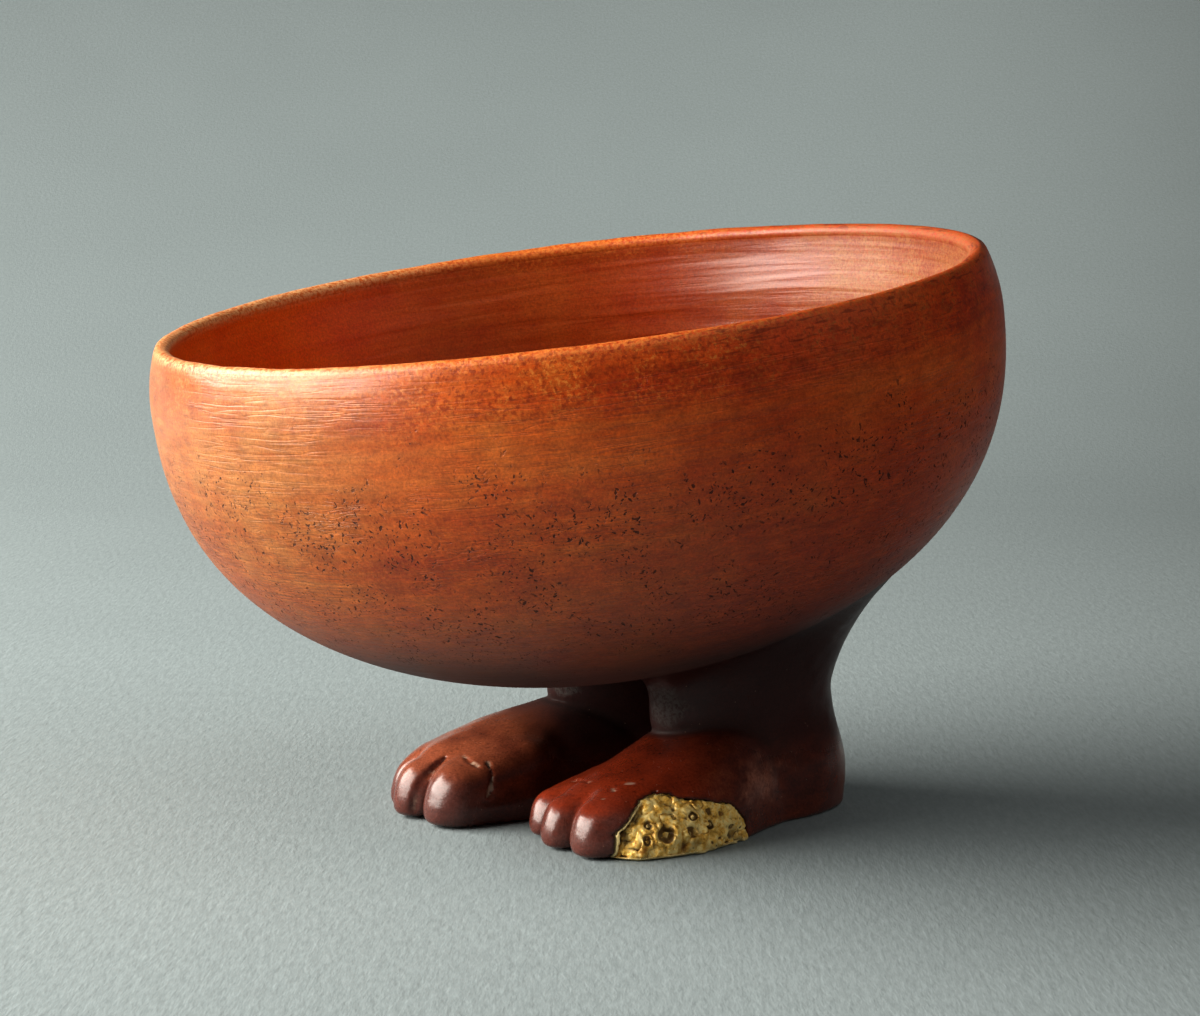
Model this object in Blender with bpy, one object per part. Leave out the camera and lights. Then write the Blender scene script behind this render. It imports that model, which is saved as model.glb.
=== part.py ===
"""Footed bowl: a hand-built, burnished earthenware bowl that leans forward on
two short legs ending in human feet. One foot has lost its outer toes, and the
break is filled with a gilded mend.

Frame: metres, +Z up, soles on z = 0. The vessel's front (its toes) points to
-Y and its left side to +X. The origin is under the middle of the vessel.
"""

from math import copysign, cos, pi, radians, sin, sqrt

import bmesh
import bpy
from mathutils import Matrix, Vector

MM = 0.001

# ---------------------------------------------------------------- dimensions
# All driving dimensions are in millimetres and degrees.
BELLY_R = 67.0          # outer radius at the widest ring
BELLY_Z = 74.9          # height of the widest ring's centre above the floor
LEAN = 9.0              # forward lean of the bowl's axis
BELLY_DEPTH = 50.2      # widest ring down to the outer bottom, along the axis
ROUND_SIDE = 2.15       # superellipse powers of the lower wall
ROUND_BASE = 2.31
SHOULDER = 41.8         # vertical half axis of the wall above the widest ring
RIM_UP = 10.5           # widest ring up to the top of the lip, along the axis
LIP = 2.8               # thickness of the lip
SEG = 64                # facets round the bowl
GAP = 0.3               # clearance between touching pieces
SLIP = 1.2              # layer of slip that lutes a leg to the bowl

# Wall: height above the widest ring and thickness; it thins towards the lip.
WALL_STATIONS = (
    (-50.2, 6.4), (-25, 6.6), (-10, 6.9), (-3, 6.7), (1, 6.1), (3.5, 5.3),
    (5.5, 4.5), (7.5, 3.6), (9.2, 2.8))

SOLE_POWER = 2.3        # squareness of a foot's cross section

# Leg: horizontal ellipses; height, half length, half width, centre forward.
LEG_STATIONS = (
    (-3, 15.0, 9.2, -2.8), (8, 16.4, 10.0, -2.4), (16, 18.0, 10.0, -1.6),
    (24, 18.6, 10.2, -1.7), (28, 19.6, 10.8, -2.4), (32, 20.6, 11.6, -3.6),
    (36, 21.8, 12.4, -5.1), (40, 23.0, 13.0, -6.8), (44, 23.8, 13.0, -8.8),
    (48, 24.2, 12.4, -10.9), (51, 24.2, 11.2, -12.2), (54, 23.8, 10.0, -13.2),
    (58, 23.0, 9.0, -13.5))
LEFT_SHIN = 0.9         # how far forward of those stations each shin stands
RIGHT_SHIN = -0.4
LEG_INSIDE = 10.6       # furthest a leg reaches towards the other one
HEEL_CENTRE = (0.0, -8.5, 7.5)
HEEL_RADII = (9.8, 11.2, 9.0)

# Foot: upright sections; forward, half width, height, outward shift.
LEFT_SECTIONS = (
    (-18, 7.5, 10.0, 0.0), (-12, 9.2, 14.0, 0.0), (-2, 10.4, 18.5, 0.3),
    (6, 11.6, 19.2, 1.0), (14, 13.2, 16.6, 1.9), (22, 14.2, 13.0, 2.4),
    (28, 13.7, 10.4, 2.8), (34, 11.6, 8.2, 2.8))
RIGHT_SECTIONS = (
    (-18, 7.5, 10.0, 0.0), (-12, 9.2, 14.0, 0.0), (-2, 10.2, 18.2, 0.2),
    (6, 11.0, 18.6, 0.5), (14, 12.2, 17.0, 0.9), (22, 13.6, 15.0, 1.3),
    (30, 14.2, 12.8, 1.6), (39, 12.6, 9.4, 1.2))

# Toe: outward, forward to its tip, height of its middle, half width,
# half height, length, splay.
LEFT_TOES = (
    (-8.6, 36.8, 3.5, 3.5, 3.7, 12, -2), (-1.2, 41.2, 3.9, 3.8, 4.2, 12, 0),
    (6.9, 42.2, 4.2, 4.4, 4.5, 13, 4), (11.6, 37.6, 3.6, 3.6, 3.9, 13, 6))
RIGHT_TOES = (
    (-8.2, 45.0, 4.8, 5.0, 5.1, 16, -1), (0.8, 45.6, 4.6, 4.3, 4.8, 16, 0),
    (7.4, 42.0, 4.1, 3.3, 4.1, 13, 3), (12.0, 37.0, 3.7, 2.7, 3.7, 11, 6),
    (15.2, 32.0, 3.3, 2.4, 3.3, 10, 9))

LEFT_ANKLE = (12.5, 23.0)
RIGHT_ANKLE = (-13.0, 22.5)
LEFT_TOE_OUT = 5.0
RIGHT_TOE_OUT = 6.0

# Slip pad inside a leg's top: half length, half width, centre forward.
PAD = (11.5, 6.6, -1.5)

# Break on the left foot: plan of its inner wall (outward, forward) from the
# toes to the back, and the height of its upper edge at each of those points.
BREAK_PLAN = ((9.2, 38.4, 8.2), (8.9, 30.0, 8.9), (10.7, 14.0, 5.6))
BREAK_OUT = 32.0

VOXEL = 0.7             # grain of the modelled clay in the feet
KEEP = 0.050            # share of the facets kept on a foot


# ------------------------------------------------------------------- helpers
def material(name, colour, rough, metal=0.0):
    mat = bpy.data.materials.new(name)
    mat.use_nodes = True
    shader = mat.node_tree.nodes["Principled BSDF"]
    shader.inputs["Base Color"].default_value = (*colour, 1.0)
    shader.inputs["Roughness"].default_value = rough
    shader.inputs["Metallic"].default_value = metal
    return mat


def through(x, xs, ys):
    """Value at x of a smooth curve through the stations (xs, ys)."""
    n = len(xs)
    if x <= xs[0]:
        return ys[0]
    if x >= xs[-1]:
        return ys[-1]
    i = max(k for k in range(n - 1) if xs[k] <= x)

    def slope(k):
        a, b = max(k - 1, 0), min(k + 1, n - 1)
        return (ys[b] - ys[a]) / (xs[b] - xs[a])

    h = xs[i + 1] - xs[i]
    t = (x - xs[i]) / h
    return ((2*t**3 - 3*t**2 + 1) * ys[i] + (t**3 - 2*t**2 + t) * h * slope(i)
            + (3*t**2 - 2*t**3) * ys[i + 1] + (t**3 - t**2) * h * slope(i + 1))


def skin(name, rings):
    """Object whose skin runs through the rings; a ring of one point is a pole.
    Open ends are capped."""
    bm = bmesh.new()
    loops = [[bm.verts.new(Vector(p) * MM) for p in ring] for ring in rings]
    for a, b in zip(loops, loops[1:]):
        if len(a) == 1 and len(b) == 1:
            continue
        n = max(len(a), len(b))
        for i in range(n):
            j = (i + 1) % n
            quad = [a[i % len(a)], a[j % len(a)], b[j % len(b)], b[i % len(b)]]
            bm.faces.new(list(dict.fromkeys(quad)))
    for end in (loops[0], loops[-1]):
        if len(end) > 2:
            bm.faces.new(end)
    bmesh.ops.recalc_face_normals(bm, faces=bm.faces)
    mesh = bpy.data.meshes.new(name)
    bm.to_mesh(mesh)
    bm.free()
    obj = bpy.data.objects.new(name, mesh)
    bpy.context.scene.collection.objects.link(obj)
    return obj


def guide(obj):
    obj.hide_render = True
    obj.display_type = 'WIRE'
    return obj


def combine(obj, other, how):
    mod = obj.modifiers.new(how.lower() + "_" + other.name, 'BOOLEAN')
    mod.operation = how
    mod.solver = 'EXACT'
    mod.object = other


def settle(obj):
    """Replace an object's mesh with the result of its modifiers."""
    graph = bpy.context.evaluated_depsgraph_get()
    mesh = bpy.data.meshes.new_from_object(obj.evaluated_get(graph))
    obj.modifiers.clear()
    obj.data = mesh
    return obj


def finish(obj, mat, parent, angle=40.0):
    obj.data.materials.clear()
    obj.data.materials.append(mat)
    obj.data.shade_smooth()
    obj.data.set_sharp_from_angle(angle=radians(angle))
    obj.parent = parent
    return obj


# ---------------------------------------------------------------------- bowl
def wall_point(turn, off):
    """Lower outer wall at a quarter-turn parameter, moved out by off."""
    rho = BELLY_R * sin(turn) ** (2 / ROUND_SIDE)
    down = BELLY_DEPTH * cos(turn) ** (2 / ROUND_BASE)
    nr = ROUND_SIDE / BELLY_R * (rho / BELLY_R) ** (ROUND_SIDE - 1)
    nh = ROUND_BASE / BELLY_DEPTH * (down / BELLY_DEPTH) ** (ROUND_BASE - 1)
    size = sqrt(nr * nr + nh * nh)
    return rho + off * nr / size, -(down + off * nh / size)


def shoulder_point(h, off):
    """Upper outer wall at height h above the widest ring, moved out by off."""
    rho = BELLY_R * sqrt(1 - (h / SHOULDER) ** 2)
    nr, nh = rho / BELLY_R ** 2, h / SHOULDER ** 2
    size = sqrt(nr * nr + nh * nh)
    return rho + off * nr / size, h + off * nh / size


def outer_wall(off, top, low_steps=13, top_steps=3):
    """Outer profile (radius, height) from the shoulder's top to the bottom."""
    pts = [shoulder_point(top * (1 - i / top_steps), off)
           for i in range(top_steps)]
    for i in range(low_steps, 0, -1):
        pts.append(wall_point(i / low_steps * pi / 2, off))
    pts.append((0.0, -(BELLY_DEPTH + off)))
    return pts


def turned(name, profile):
    rings = []
    for rho, h in profile:
        if rho < 1e-9:
            rings.append([(0.0, 0.0, h)])
        else:
            rings.append([(rho * cos(2 * pi * i / SEG),
                           rho * sin(2 * pi * i / SEG), h)
                          for i in range(SEG)])
    return skin(name, rings)


def lean(obj):
    obj.location = (0.0, 0.0, BELLY_Z * MM)
    obj.rotation_euler = (radians(LEAN), 0.0, 0.0)
    return obj


LIP_H = RIM_UP - LIP / 2 + 0.1      # where the lip's rounding starts


def inner_wall(low_steps=13, top_steps=5):
    """Inner profile, in from the outer one by the wall at each height."""
    heights, walls = zip(*WALL_STATIONS)
    pts = []
    for i in range(top_steps):
        h = LIP_H * (1 - i / top_steps)
        pts.append(shoulder_point(h, -through(h, heights, walls)))
    for i in range(low_steps, 0, -1):
        turn = i / low_steps * pi / 2
        h = wall_point(turn, 0.0)[1]
        pts.append(wall_point(turn, -through(h, heights, walls)))
    pts.append((0.0, -(BELLY_DEPTH - walls[0])))
    return pts


def bowl_profile():
    outer, inner = outer_wall(0.0, LIP_H), inner_wall()
    a, b = Vector(outer[0]), Vector(inner[0])
    mid, half = (a + b) / 2, (a - b) / 2
    up = Vector((-half.y, half.x))
    lip = []
    for i in range(1, 8):
        c, d = cos(pi * i / 8), sin(pi * i / 8)
        p = mid - half * copysign(abs(c) ** 0.8, c) + up * 0.95 * d ** 0.8
        lip.append((p.x, p.y))
    return inner[::-1] + lip + outer


def bowl_solid(name, off):
    """Everything inside the bowl's outer wall moved out by off."""
    wall = outer_wall(off, LIP_H)
    return guide(lean(turned(name, [(0.0, wall[0][1])] + wall)))


# ---------------------------------------------------------------------- feet
def foot_point(side, out, fwd, z):
    """Point in a foot's own frame: outward, forward, up."""
    return (side * out, -fwd, z)


def ellipse(side, half_len, half_wid, fwd, z, n=28):
    """Level ellipse; a wide one grows outward only, clear of the other leg."""
    out = max(0.0, half_wid - LEG_INSIDE)
    return [foot_point(side, out + half_wid * cos(2 * pi * i / n),
                       fwd + half_len * sin(2 * pi * i / n), z)
            for i in range(n)]


def leg_solid(side, name, shin):
    zs, lens, wids, fwds = zip(*LEG_STATIONS)
    rings = []
    steps = 18
    for i in range(steps + 1):
        z = zs[0] + (zs[-1] - zs[0]) * i / steps
        fwd = through(z, zs, fwds)
        fwd += shin * through(z, (8, 16, 26, 38), (0, 1, 1, 0))
        rings.append(ellipse(side, through(z, zs, lens), through(z, zs, wids),
                             fwd, z))
    return skin(name, rings)


def section(side, fwd, half, height, shift, n=16):
    ring = []
    for i in range(n + 1):
        t = pi * i / n
        c, s = cos(t), sin(t)
        ring.append(foot_point(
            side,
            shift + half * (1 if c > 0 else -1) * abs(c) ** (2 / SOLE_POWER),
            fwd, height * abs(s) ** (2 / SOLE_POWER)))
    ring.append(foot_point(side, shift - half, fwd, -3.0))
    ring.append(foot_point(side, shift + half, fwd, -3.0))
    return ring


def instep_solid(side, name, stations):
    fwds, halves, heights, shifts = zip(*stations)
    rings = []
    steps = 22
    for i in range(steps + 1):
        f = fwds[0] + (fwds[-1] - fwds[0]) * i / steps
        rings.append(section(side, f, through(f, fwds, halves),
                             through(f, fwds, heights),
                             through(f, fwds, shifts)))
    for f, k in ((fwds[0] - 1.6, 0.8), (fwds[0] - 2.4, 0.5)):
        rings.insert(0, section(side, f, halves[0] * k, heights[0] * k,
                                shifts[0]))
    for f, k in ((fwds[-1] + 1.6, 0.8), (fwds[-1] + 2.4, 0.5)):
        rings.append(section(side, f, halves[-1] * k, heights[-1] * k,
                             shifts[-1]))
    return skin(name, rings)


def blob(name, centre, radii, stretch=0.0, splay=0.0, side=1):
    """Ball scaled to radii; its back half is drawn out by stretch."""
    bm = bmesh.new()
    bmesh.ops.create_uvsphere(bm, u_segments=20, v_segments=12, radius=1.0)
    turn = Matrix.Rotation(radians(splay) * side, 3, 'Z')
    for v in bm.verts:
        p = Vector((v.co.x * radii[0], v.co.y * radii[1], v.co.z * radii[2]))
        if p.y > 1e-6:
            p.y += stretch
        v.co = (turn @ p + Vector(foot_point(side, *centre))) * MM
    mesh = bpy.data.meshes.new(name)
    bm.to_mesh(mesh)
    bm.free()
    obj = bpy.data.objects.new(name, mesh)
    bpy.context.scene.collection.objects.link(obj)
    return obj


def foot_form(side, name, stations, toes, shin):
    """Leg, heel, instep and toes pressed into one piece of clay."""
    form = instep_solid(side, name, stations)
    lumps = [leg_solid(side, name + "_leg_guide", shin),
             blob(name + "_heel_guide", HEEL_CENTRE, HEEL_RADII, side=side)]
    for i, (out, fwd, z, wid, hgt, length, splay) in enumerate(toes):
        lumps.append(blob("%s_toe_guide_%d" % (name, i + 1),
                          (out, fwd - hgt, z), (wid, hgt, hgt),
                          stretch=length - hgt, splay=splay, side=side))
    for lump in lumps:
        combine(form, lump, 'UNION')
    settle(form)
    for lump in lumps:
        bpy.data.objects.remove(lump, do_unlink=True)
    grain = form.modifiers.new("clay", 'REMESH')
    grain.mode = 'VOXEL'
    grain.voxel_size = VOXEL * MM
    rub = form.modifiers.new("rubbed", 'SMOOTH')
    rub.factor = 0.5
    rub.iterations = 6
    fewer = form.modifiers.new("fewer", 'DECIMATE')
    fewer.ratio = KEEP
    return settle(form)


def place(obj, ankle, toe_out, side):
    obj.location = (ankle[0] * MM, ankle[1] * MM, 0.0)
    obj.rotation_euler = (0.0, 0.0, radians(toe_out) * side)
    return obj


def block(name, low, high):
    bm = bmesh.new()
    bmesh.ops.create_cube(bm, size=1.0)
    low, high = Vector(low), Vector(high)
    for v in bm.verts:
        v.co = Vector([(low[k] + high[k]) / 2 + v.co[k] * (high[k] - low[k])
                       for k in range(3)]) * MM
    mesh = bpy.data.meshes.new(name)
    bm.to_mesh(mesh)
    bm.free()
    obj = bpy.data.objects.new(name, mesh)
    bpy.context.scene.collection.objects.link(obj)
    return guide(obj)


def pad_column(side, name, grow):
    half_len, half_wid, fwd = PAD
    return guide(skin(name, [
        ellipse(side, half_len + grow, half_wid + grow, fwd, z, 32)
        for z in (14.0, 60.0)]))


def break_block(side, name, grow):
    """Region of the broken-off toes, its inner walls moved in by grow."""
    rings = []
    (o0, f0, z0), (o1, f1, z1), (o2, f2, z2) = BREAK_PLAN
    plan = [(o0 - grow, f0 + grow), (o1 - grow, f1), (o2 - grow, f2 - grow),
            (BREAK_OUT, f2 - grow), (BREAK_OUT, f0 + grow)]
    tops = [z0, z1, z2, z2, z0]
    rings.append([foot_point(side, o, f, -6.0) for o, f in plan])
    rings.append([foot_point(side, o, f, z + grow)
                  for (o, f), z in zip(plan, tops)])
    return guide(skin(name, rings))


# ------------------------------------------------------------------ assembly
for old in list(bpy.data.objects):
    bpy.data.objects.remove(old, do_unlink=True)

clay = material("burnished_clay", (0.40, 0.115, 0.040), 0.36)
dark_clay_l = material("dark_burnished_clay_left", (0.130, 0.030, 0.018), 0.30)
dark_clay_r = material("dark_burnished_clay_right", (0.130, 0.030, 0.018), 0.30)
slip_l = material("fired_slip_left", (0.30, 0.10, 0.05), 0.80)
slip_r = material("fired_slip_right", (0.30, 0.10, 0.05), 0.80)
gilt = material("gilded_fill", (0.62, 0.42, 0.10), 0.34, 0.85)

profile = bowl_profile()
tilt = radians(LEAN)
back = max(r * cos(tilt) - h * sin(tilt) for r, h in profile)
front = max(r * cos(tilt) + h * sin(tilt) for r, h in profile)

root = bpy.data.objects.new("vessel", None)
bpy.context.scene.collection.objects.link(root)
root.location = (0.0, -(back - front) / 2 * MM, 0.0)

bowl = finish(lean(turned("bowl", profile)), clay, root)

# Guides that cut the legs' tops and the slip to the bowl's underside.
seat = bowl_solid("seat_guide", GAP)
slip_face = bowl_solid("slip_face_guide", GAP + SLIP)
pad_floor = bowl_solid("pad_floor_guide", GAP + SLIP + GAP)
ground = block("ground_guide", (-90, -90, -40), (90, 90, 0))
for cutter in (seat, slip_face, pad_floor, ground):
    cutter.parent = root


def foot_pair(side, name, stations, toes, shin, ankle, toe_out, clay_mat,
              slip_mat):
    form = foot_form(side, name, stations, toes, shin)
    place(form, ankle, toe_out, side)
    form.parent = root
    combine(form, ground, 'DIFFERENCE')
    settle(form)

    slip = place(pad_column(side, name.split("_")[0] + "_slip_joint", 0.0),
                 ankle, toe_out, side)
    slip.parent = root
    slip.hide_render = False
    slip.display_type = 'TEXTURED'
    combine(slip, slip_face, 'INTERSECT')
    combine(slip, seat, 'DIFFERENCE')
    finish(slip, slip_mat, root)

    pad = place(pad_column(side, name + "_pad_guide", GAP), ankle, toe_out,
                side)
    pad.parent = root
    combine(pad, pad_floor, 'INTERSECT')

    combine(form, seat, 'DIFFERENCE')
    combine(form, pad, 'DIFFERENCE')
    return finish(form, clay_mat, root)


right_foot = foot_pair(-1, "right_foot", RIGHT_SECTIONS, RIGHT_TOES,
                       RIGHT_SHIN, RIGHT_ANKLE, RIGHT_TOE_OUT, dark_clay_r,
                       slip_r)
left_foot = foot_pair(1, "left_foot", LEFT_SECTIONS, LEFT_TOES,
                      LEFT_SHIN, LEFT_ANKLE, LEFT_TOE_OUT, dark_clay_l,
                      slip_l)

# The break takes the outer toes off the left foot, and the mend fills it.
toe_mend = bpy.data.objects.new("toe_mend", left_foot.data.copy())
bpy.context.scene.collection.objects.link(toe_mend)
place(toe_mend, LEFT_ANKLE, LEFT_TOE_OUT, 1)
fill = place(break_block(1, "fill_guide", 0.0), LEFT_ANKLE, LEFT_TOE_OUT, 1)
scar = place(break_block(1, "scar_guide", GAP), LEFT_ANKLE, LEFT_TOE_OUT, 1)
for cutter in (fill, scar):
    cutter.parent = root
combine(toe_mend, fill, 'INTERSECT')
finish(toe_mend, gilt, root)
combine(left_foot, scar, 'DIFFERENCE')
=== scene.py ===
"""Looks for a footed bowl: a burnished clay bowl that leans forward on two
human feet, with a gold-coloured fill in the break on the left foot.
Lengths are in millimetres until the meshes are made."""

from math import cos, pi, radians, sin

import bpy
import numpy as np
from mathutils import Matrix, Vector


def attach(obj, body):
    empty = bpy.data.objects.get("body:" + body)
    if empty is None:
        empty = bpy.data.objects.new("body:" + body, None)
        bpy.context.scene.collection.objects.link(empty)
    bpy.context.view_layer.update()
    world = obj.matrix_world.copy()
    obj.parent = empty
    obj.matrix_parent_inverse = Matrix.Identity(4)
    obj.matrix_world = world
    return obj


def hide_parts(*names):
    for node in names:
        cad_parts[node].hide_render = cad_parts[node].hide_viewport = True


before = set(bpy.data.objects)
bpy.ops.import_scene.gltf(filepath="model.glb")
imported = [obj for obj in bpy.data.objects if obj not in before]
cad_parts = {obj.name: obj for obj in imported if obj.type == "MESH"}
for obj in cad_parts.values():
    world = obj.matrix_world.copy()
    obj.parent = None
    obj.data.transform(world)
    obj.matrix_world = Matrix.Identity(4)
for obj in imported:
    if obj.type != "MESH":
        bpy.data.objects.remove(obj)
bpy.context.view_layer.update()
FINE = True
MM = 0.001

# ------------------------------------------------------------------ numbers
BELLY_R, BELLY_Z, LEAN = 67.0, 74.9, radians(9.0)
BELLY_DEPTH, ROUND_SIDE, ROUND_BASE = 50.2, 2.15, 2.31
SHOULDER, RIM_UP, LIP_WALL = 41.8, 10.5, 2.8
LIP_H = RIM_UP - LIP_WALL / 2 + 0.1
# wall thickness at heights from the bottom to the lip: the lip tapers on the inside
WALL_H = (-50.2, -25.0, -10.0, -3.0, 1.0, 3.5, 5.5, 7.5, 9.2)
WALL_T = (6.4, 6.6, 6.9, 6.7, 6.1, 5.3, 4.5, 3.6, 2.8)

AXIS = np.array([0.0, -sin(LEAN), cos(LEAN)])
ACROSS = np.array([0.0, cos(LEAN), sin(LEAN)])


# -------------------------------------------------------------- small maths
def ramp01(x, a, b):
    t = np.clip((x - a) / (b - a), 0.0, 1.0)
    return t * t * (3 - 2 * t)


def smin(a, b, k):
    h = np.maximum(k - np.abs(a - b), 0) / k
    return np.minimum(a, b) - h * h * k * 0.25


def smax(a, b, k):
    return -smin(-a, -b, k)


def through(x, xs, ys):
    """Smooth curve through design stations."""
    xs, ys = np.asarray(xs, float), np.asarray(ys, float)
    m = np.gradient(ys, xs)
    i = np.clip(np.searchsorted(xs, x) - 1, 0, len(xs) - 2)
    h = xs[i + 1] - xs[i]
    t = np.clip((x - xs[i]) / h, 0, 1)
    return ((2 * t ** 3 - 3 * t ** 2 + 1) * ys[i] + (t ** 3 - 2 * t ** 2 + t) * h * m[i]
            + (-2 * t ** 3 + 3 * t ** 2) * ys[i + 1] + (t ** 3 - t ** 2) * h * m[i + 1])


def lattice(i, seed):
    u = np.uint32
    h = (i[..., 0].astype(u) * u(374761393) + i[..., 1].astype(u) * u(668265263)
         + i[..., 2].astype(u) * u(2246822519) + u(seed * 40503 + 977))
    h = (h ^ (h >> u(15))) * u(2246822519)
    h = (h ^ (h >> u(13))) * u(3266489917)
    return (h ^ (h >> u(16))).astype(np.float64) / 4294967295.0


def noise(p, seed):
    """Smooth value noise from -1 to 1, one lump per unit."""
    i = np.floor(p)
    f = p - i
    i = i.astype(np.int64)
    w = f * f * f * (f * (f * 6 - 15) + 10)
    out = 0.0
    for a in (0, 1):
        for b in (0, 1):
            for c in (0, 1):
                k = ((w[..., 0] if a else 1 - w[..., 0])
                     * (w[..., 1] if b else 1 - w[..., 1])
                     * (w[..., 2] if c else 1 - w[..., 2]))
                out = out + k * lattice(i + np.array([a, b, c]), seed)
    return out * 2 - 1


def capsule(p, a, b):
    a, b = np.asarray(a, float), np.asarray(b, float)
    ab = b - a
    t = np.clip(((p - a) @ ab) / (ab @ ab), 0, 1)
    return np.linalg.norm(p - a - t[..., None] * ab, axis=-1)


# --------------------------------------------------------- bowl, as a field
def bowl_local(p):
    q = p - np.array([0.0, 0.0, BELLY_Z])
    return q[..., 0], q @ ACROSS, q @ AXIS


def bowl_out(p):
    """Distance outside the bowl's outer wall."""
    x, y, h = bowl_local(p)
    r = (np.sqrt(x * x + y * y) + 1e-9) / BELLY_R
    a, b = np.abs(h) / BELLY_DEPTH, h / SHOULDER
    low = r ** ROUND_SIDE + a ** ROUND_BASE - 1
    low_s = np.sqrt((ROUND_SIDE / BELLY_R * r ** (ROUND_SIDE - 1)) ** 2
                    + (ROUND_BASE / BELLY_DEPTH * a ** (ROUND_BASE - 1)) ** 2)
    top = r ** 2 + b ** 2 - 1
    top_s = np.sqrt((2 * r / BELLY_R) ** 2 + (2 * b / SHOULDER) ** 2)
    return np.where(h < 0, low / np.maximum(low_s, 0.01), top / np.maximum(top_s, 0.01))


# --------------------------------------------------------- feet, as a field
class Foot:
    """Local axes: o outward, f forward to the toes, z up, from the ankle."""

    def __init__(self, side, ankle, toe_out, toes, body, leg, heel, creases):
        self.side, self.ankle = side, np.array(ankle, float)
        a = radians(toe_out)
        self.o = np.array([side * cos(a), sin(a)])
        self.f = np.array([side * sin(a), -cos(a)])
        self.toes, self.body, self.leg = toes, body, leg
        self.heel, self.creases = heel, creases

    def local(self, p):
        d = p[..., :2] - self.ankle
        return np.stack([d @ self.o, d @ self.f, p[..., 2]], -1)

    def sole_and_instep(self, q):
        s = self.body
        f = q[..., 1]
        hw, top, mid = (through(f, s["f"], s[n]) for n in ("hw", "top", "mid"))
        g = ((np.abs(q[..., 0] - mid) / hw) ** 2.3 + (np.abs(q[..., 2]) / top) ** 2.3) ** (1 / 2.3)
        d = (g - 1) * np.minimum(hw, top)
        return smax(d, np.maximum(f - s["front"] - s["slant"] * q[..., 0], s["f"][0] - f), 3.0)

    def shank(self, q):
        s, z = self.leg, q[..., 2]
        a, b, c = (through(z, s["z"], s[n]) for n in ("long", "wide", "mid"))
        x, y = q[..., 0] / b, (q[..., 1] - c) / a
        k0 = np.sqrt(x * x + y * y)
        k1 = np.sqrt((x / b) ** 2 + (y / a) ** 2) + 1e-9
        return np.maximum(k0 * (k0 - 1) / k1, -z - 5)

    def heel_ball(self, q):
        c, r = (np.asarray(v, float) for v in self.heel)
        d = q - c
        k0 = np.sqrt(((d / r) ** 2).sum(-1))
        k1 = np.sqrt(((d / r ** 2) ** 2).sum(-1)) + 1e-9
        return k0 * (k0 - 1) / k1

    def toe(self, q, spec):
        o, f, z, tilt, wide, tall, length, splay = spec
        c, s = cos(radians(splay)), sin(radians(splay))
        du, dv = q[..., 0] - o, q[..., 1] - f
        u, v = du * c - dv * s, du * s + dv * c
        p = np.stack([u * (tall / wide), v + 0.30 * (q[..., 2] - z), q[..., 2]], -1)
        tip = np.array([0.0, -tall, z])
        root = np.array([0.0, -length, z + tilt])
        ax = root - tip
        t = np.clip(((p - tip) @ ax) / (ax @ ax), 0, 1)
        d = np.abs(p - tip - t[..., None] * ax)
        d = (np.sqrt(d[..., 0] ** 2 + d[..., 1] ** 2) ** 2.7 + d[..., 2] ** 2.7) ** (1 / 2.7)
        return d - tall * (0.96 + 0.07 * t)

    def form(self, p, q=None):
        q = self.local(p) if q is None else q
        d = smin(self.sole_and_instep(q), self.heel_ball(q), 5.0)
        up, fore = self.shank(q), ramp01(q[..., 1], -8, 6)
        crease = 0.12 * fore * np.exp(-((d - up) / 0.6) ** 2)
        d = smin(d, up, 6.0 - 5.4 * fore) + crease * np.exp(-(np.minimum(d, up) / 1.5) ** 2)
        t = None
        for spec in self.toes:
            e = self.toe(q, spec)
            t = e if t is None else smin(t, e, 0.8 + 3.0 * ramp01(q[..., 1], spec[1] - 6.5, spec[1] - 12))
        d = smin(d, t, 3.2)
        m = (np.abs(d) < 3) & (q[..., 1] > 22)
        if m.any():
            cut, qm = np.zeros(m.sum()), q[m]
            for width, depth, line in self.creases:
                far = np.min([capsule(qm, a, b) for a, b in zip(line[:-1], line[1:])], axis=0)
                cut += depth * np.exp(-(far / width) ** 2)
            d[m] += cut
        return smax(d, -q[..., 2], 1.1)


LEG = {"z": [-2, 8, 16, 24, 34, 44, 56], "long": [14.5, 16.4, 17.9, 18.3, 19.7, 22, 26],
       "wide": [9.2, 10, 9.8, 9.8, 10.8, 13, 17], "mid": [-3, -2.4, -0.7, -0.5, -1.2, -2.6, -4]}
HEEL = ((0, -8.5, 7.5), (9.8, 11.2, 9.0))

# toe: place across, tip forward, height, rise to the root, half width, half height, length, splay
LEFT = Foot(
    1, (12.5, 23.0), 5.0,
    [(-8.6, 36.4, 3.6, 1.2, 3.5, 3.8, 12, -2), (-1.2, 40.8, 4.0, 1.0, 3.8, 4.2, 12, 0),
     (6.9, 41.8, 4.2, 1.0, 4.5, 4.5, 13, 4)],
    {"f": [-18, -12, -2, 6, 14, 22, 28, 34, 39], "hw": [7.5, 9.2, 10.4, 11.6, 13.2, 14.2, 13.7, 11.8, 10.2],
     "top": [10, 14, 18.5, 19.2, 16.6, 13.0, 10.4, 8.6, 7.2], "mid": [0, 0, 0.3, 1, 1.9, 2.4, 2.8, 3.0, 2.6],
     "front": 34.6, "slant": 0.24},
    LEG, HEEL,
    [(0.34, 0.34, [(-6.9, 29.5, 8.2), (-3.6, 31.2, 8.9), (-1.0, 32.2, 9.1)]),
     (0.36, 0.42, [(1.4, 32.4, 8.4), (2.6, 31.6, 8.9), (4.6, 32.4, 9.2), (6.4, 34.0, 9.1)]),
     (0.28, 0.26, [(5.2, 31.9, 9.8), (6.9, 30.6, 9.9)]),
     (0.30, 0.30, [(6.9, 36.6, 8.4), (8.5, 35.8, 7.8)])])
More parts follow.
